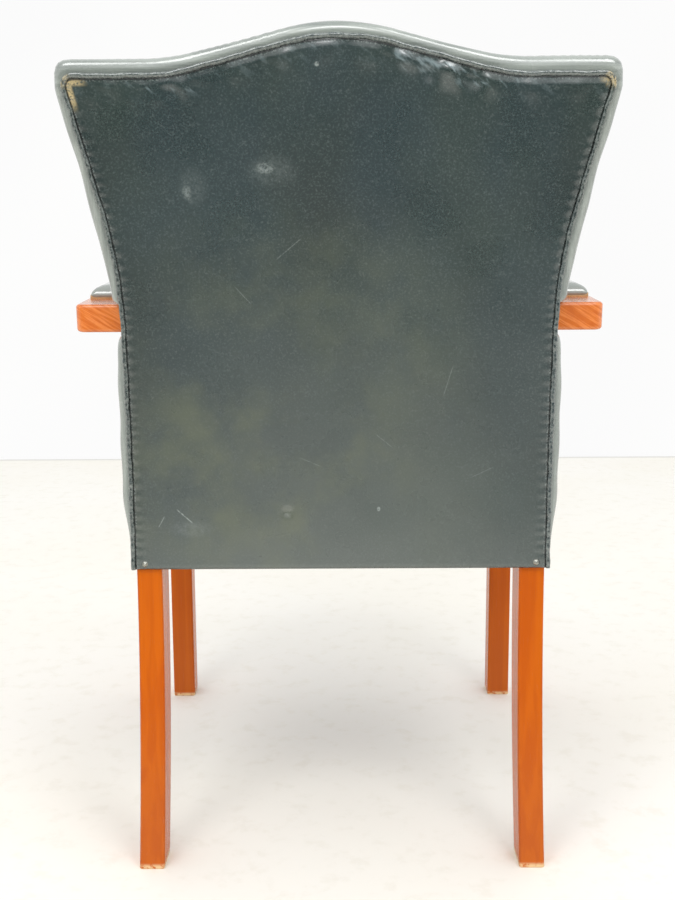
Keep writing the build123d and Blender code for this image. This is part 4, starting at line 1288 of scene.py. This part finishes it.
def arm_pad(name, side):
    start = POST_FRONT - ARM_REAR

    def edge(along, outer):
        swell = ARM_BOW * (1 - ((2 * along - ARM_LENGTH) / ARM_LENGTH) ** 2) * outer
        return HALF_WIDTH + max(0.0, along + start) * ARM_FLARE + outer * ARM_WIDTH + swell

    def placed(x, along, height):
        y = ARM_REAR - along * math.cos(ARM_TILT) + height * math.sin(ARM_TILT)
        return side * x, y, ARM_TOP + along * math.sin(ARM_TILT) + height * math.cos(ARM_TILT)

    nose = PAD_STOP - 0.5 * ARM_WIDTH + PAD_MARGIN
    border = [(edge(along, 1) - PAD_MARGIN, along) for along in np.linspace(PAD_START, nose, SIDE_STEPS)]
    middle, reach = edge(nose, 0.5), 0.5 * ARM_WIDTH - PAD_MARGIN
    border += [
        (middle + reach * math.cos(turn), nose + (PAD_STOP - nose) * math.sin(turn))
        for turn in np.linspace(0, math.pi, NOSE_STEPS)[1:-1]
    ]
    border += [(edge(along, 0) + PAD_MARGIN, along) for along in np.linspace(nose, PAD_START, SIDE_STEPS)]
    shape = bmesh.new()
    rings = []
    for inward, up in PAD_SHARES:
        ring = []
        for x, along in border:
            spine = min(max(along, PAD_SPINE_START), nose)
            x_in, along_in = edge(spine, 0.5), along + (spine - along) * inward
            ring.append(shape.verts.new(placed(x + (x_in - x) * inward, along_in, PAD_HEIGHT * up)))
        rings.append(ring)
    for low, high in zip(rings, rings[1:]):
        for face in zip(low, low[1:] + low[:1], high[1:] + high[:1], high):
            shape.faces.new(face)
    shape.faces.new(rings[0])
    bmesh.ops.remove_doubles(shape, verts=shape.verts, dist=0.0004)
    bmesh.ops.holes_fill(shape, edges=open_edges(shape), sides=0)
    bmesh.ops.recalc_face_normals(shape, faces=shape.faces)
    pad = make(name, shape, PAD_LEATHER)

    def held(x, y, z):
        up = (z - ARM_TOP - (ARM_REAR - y) * math.tan(ARM_TILT)) / PAD_HEIGHT
        return up < PAD_HELD

    swollen(pad, 0.003, 0.003, held, 2.0, 2)
    return pad


def pads():
    for side, word in ((1, "left"), (-1, "right")):
        pad = arm_pad("arm_pad_leather_" + word, side)
        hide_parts("arm_pad_cover_" + word, "arm_pad_foam_" + word)


# Buttons: leather over a mould, drawn deep into the inside back
BUTTON_SIZE = (0.0085, 0.0085, 0.00357)


def buttons():
    shape = bmesh.new()
    for x, z in (spot for row in BUTTONS for spot in row):
        y = float(front_y(z) + tufting(x, z))
        turn = Matrix.Rotation(math.pi / 2 - math.atan(slope_of(front_y, z)), 4, "X")
        add_bead(shape, 28, 14, BUTTON_SIZE, (x, y, z), turn)
    made = make("back_button_heads", shape, BUTTON_LEATHER)
    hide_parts("back_buttons")


# The dust cover: black cambric, slack between its tacks under the seat. Its outline turns round the legs at
# some of its rows, with a half width at each turn.
CAMBRIC_THICKNESS = 0.0006
CAMBRIC_SLACK = 0.004
CAMBRIC_ROWS = 80
CAMBRIC_TURNS = (0, 6, 7, 72, 73, 80)
CAMBRIC_HALVES = (0.246, 0.246, 0.2715, 0.2325, 0.211, 0.211)


def dust_sheet():
    low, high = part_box("dust_cover")
    share = [row / CAMBRIC_ROWS for row in CAMBRIC_TURNS]
    level = (low[1], LEG_REAR + 0.0005, LEG_REAR + 0.0015, POST_FRONT - 0.0015, POST_FRONT - 0.0005, high[1])
    half = CAMBRIC_HALVES

    def placed(u, v):
        x = (2 * u - 1) * np.interp(v, share, half)
        middle = 16 * u * (1 - u) * v * (1 - v)
        gathers = 0.0006 * np.sin(x * 210) * bell(np.minimum(v, 1 - v), 0.03) * ease(middle, 0.0, 0.2)
        return x, np.interp(v, share, level), high[2] - CAMBRIC_THICKNESS - CAMBRIC_SLACK * middle + gathers

    cloth = make("dust_cloth", grid(CAMBRIC_ROWS, CAMBRIC_ROWS, placed), CAMBRIC)
    thicken(cloth, CAMBRIC_THICKNESS, 0.0)
    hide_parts("dust_cover")
    area = sum((far - near) * (a + b) for near, far, a, b in zip(level, level[1:], half, half[1:]))


# Materials of the CAD pieces that stay as they are
FINISHES = (
    (("rear_post", "front_leg", "arm_support_l", "arm_support_r"), UPRIGHT_WOOD),
    (("arm_left", "arm_right"), ARM_WOOD),
    (("seat_rail", "corner_blocks", "crest_rail", "back_lower_rail"), FRAME_WOOD),
    (("arm_pad_board",), PAD_BOARD),
    (("rail_dowels", "back_rail_dowels", "arm_dowels"), DOWEL_WOOD),
    (("corner_block_screws", "arm_rear_screws", "arm_support_screws", "arm_pad_screws"), STEEL),
    (("back_corner_nails",), NAIL),
    (("seat_webbing", "back_webbing"), WEBBING),
    (("seat_hessian", "back_hessian"), HESSIAN),
    (("button_twines",), TWINE),
    (("seat_foam", "back_foam", "arm_pad_foam", "outside_back_wadding"), FOAM),
)


def finish_nodes():
    for name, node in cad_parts.items():
        for starts, material in FINISHES:
            if name.startswith(starts):
                for slot in node.material_slots:
                    slot.material = material


finish_nodes()
back_panel()
welt()
seam_stitches()
inside_back()
seat()
pads()
buttons()
dust_sheet()


# Stage: a pale floor and wall, two soft lamps above, a window behind the camera, and light from all round
WALL_Y = REAR - 2.96
ROOM = 6.0
NEAR_FLOOR = 1.45
FAR_FLOOR = 2.30


def sheet_of(name, corners, material):
    shape = bmesh.new()
    shape.faces.new([shape.verts.new(corner) for corner in corners])
    sheet = linked(name, mesh_of(name, shape))
    sheet.data.materials.append(material)


def seen(node):
    """1 for rays from the camera, in polished surfaces and through clear ones, else 0."""
    kinds = ("Is Camera Ray", "Is Glossy Ray", "Is Transmission Ray")
    direct, glossy, clear = (node("ShaderNodeLightPath", {}, {}, kind) for kind in kinds)
    return (direct + glossy + clear).least(1.0)


def floor_paper():
    """Pale floor that grows dark behind the camera, as the polished back shows it."""
    finish = Finish("floor_paper")
    along = finish.axes()[1]
    tone = finish.noise(1.3, 2.0, 0.5).ramp(0.3, 0.7)
    pale = finish.mix(tone, srgb(252, 249, 240), srgb(254, 252, 246))
    marks = finish.noise(26.0, 5.0, 0.7).ramp(0.50, 0.68) * 0.4
    pale = finish.mix(marks, pale, srgb(240, 236, 224))
    # Painted shadow: the floor is painted greyer within 5 cm of the wall, as the shade where it meets the
    # wall
    pale = finish.mix(along.ramp(WALL_Y + 0.05, WALL_Y), pale, srgb(222, 221, 216))
    unseen = 1.0 - finish.node("ShaderNodeLightPath", {}, {}, "Is Camera Ray")
    dark = along.ramp(NEAR_FLOOR, FAR_FLOOR) * unseen
    finish.set(Base_Color=finish.mix(dark, pale, srgb(40, 38, 36)), Roughness=0.7)
    return finish.material


def wall_paper():
    finish = Finish("wall_paper", Emission_Strength=1.0, Roughness=0.9, Specular_IOR_Level=0.0)
    shade = finish.noise(0.8, 2.0, 0.5).ramp(0.3, 0.7)
    finish.set(Base_Color=(0.02, 0.02, 0.02, 1.0))
    finish.set(Emission_Color=finish.mix(shade, (0.945, 0.945, 0.945), (0.965, 0.965, 0.962)))
    return finish.material


floor = [(-ROOM, WALL_Y, 0), (ROOM, WALL_Y, 0), (ROOM, ROOM, 0), (-ROOM, ROOM, 0)]
sheet_of("floor", floor, floor_paper())
wall = [(-ROOM, WALL_Y, 0), (-ROOM, WALL_Y, ROOM), (ROOM, WALL_Y, ROOM), (ROOM, WALL_Y, 0)]
sheet_of("wall", wall, wall_paper())


def lamp(name, spot, aim, size, power):
    light = bpy.data.lights.new(name, "AREA")
    light.shape = "SQUARE"
    light.size = size
    light.energy = power
    hung = linked(name, light)
    hung.location = spot
    hung.rotation_euler = (Vector(aim) - Vector(spot)).to_track_quat("-Z", "Y").to_euler()


KEY_POWER = 9.0
WINDOW_POWER = 16.0
AMBIENT = 0.94
for side, word in ((1, "left"), (-1, "right")):
    lamp(word + "_key", (side * 0.80, 1.37, 1.96), (0.0, 0.0, 0.4), 0.7, KEY_POWER)
lamp("window", (0.0, 3.2, 1.75), (0.0, 0.2, 0.8), 0.75, WINDOW_POWER)

world = bpy.data.worlds.new("room")
bpy.context.scene.world = world
world.use_nodes = True


class Air(Finish):
    """The world's nodes, worked on as a finish's are."""

    def __init__(self, tree):
        self.tree = tree


sky = Air(world.node_tree)
backdrop = world.node_tree.nodes["Background"]
sky.feed(backdrop.inputs["Color"], (1.0, 1.0, 1.0, 1.0))
sky.feed(backdrop.inputs["Strength"], seen(sky.node) * (1.0 - AMBIENT) + AMBIENT)

# The camera stands behind the chair, at the height of its back, tipped down a little
FOCAL_PIXELS = 1100.0
FRAME_HEIGHT = 900.0
SENSOR = 36.0
CAMERA_DISTANCE = 1.262
CAMERA_HEIGHT = 0.700
TIP = math.radians(9.0)
ROLL = math.radians(-0.30)
PAN = math.radians(0.13)

camera = linked("camera", bpy.data.cameras.new("camera"))
camera.data.sensor_width = SENSOR
camera.data.lens = FOCAL_PIXELS / FRAME_HEIGHT * SENSOR
camera.location = (0.0, REAR + CAMERA_DISTANCE, CAMERA_HEIGHT)
turned = Matrix.Rotation(math.pi + PAN, 4, "Z") @ Matrix.Rotation(math.pi / 2 - TIP, 4, "X")
turned = turned @ Matrix.Rotation(ROLL, 4, "Z")
camera.rotation_euler = turned.to_euler()
bpy.context.scene.camera = camera
bpy.context.scene.view_settings.view_transform = "Standard"
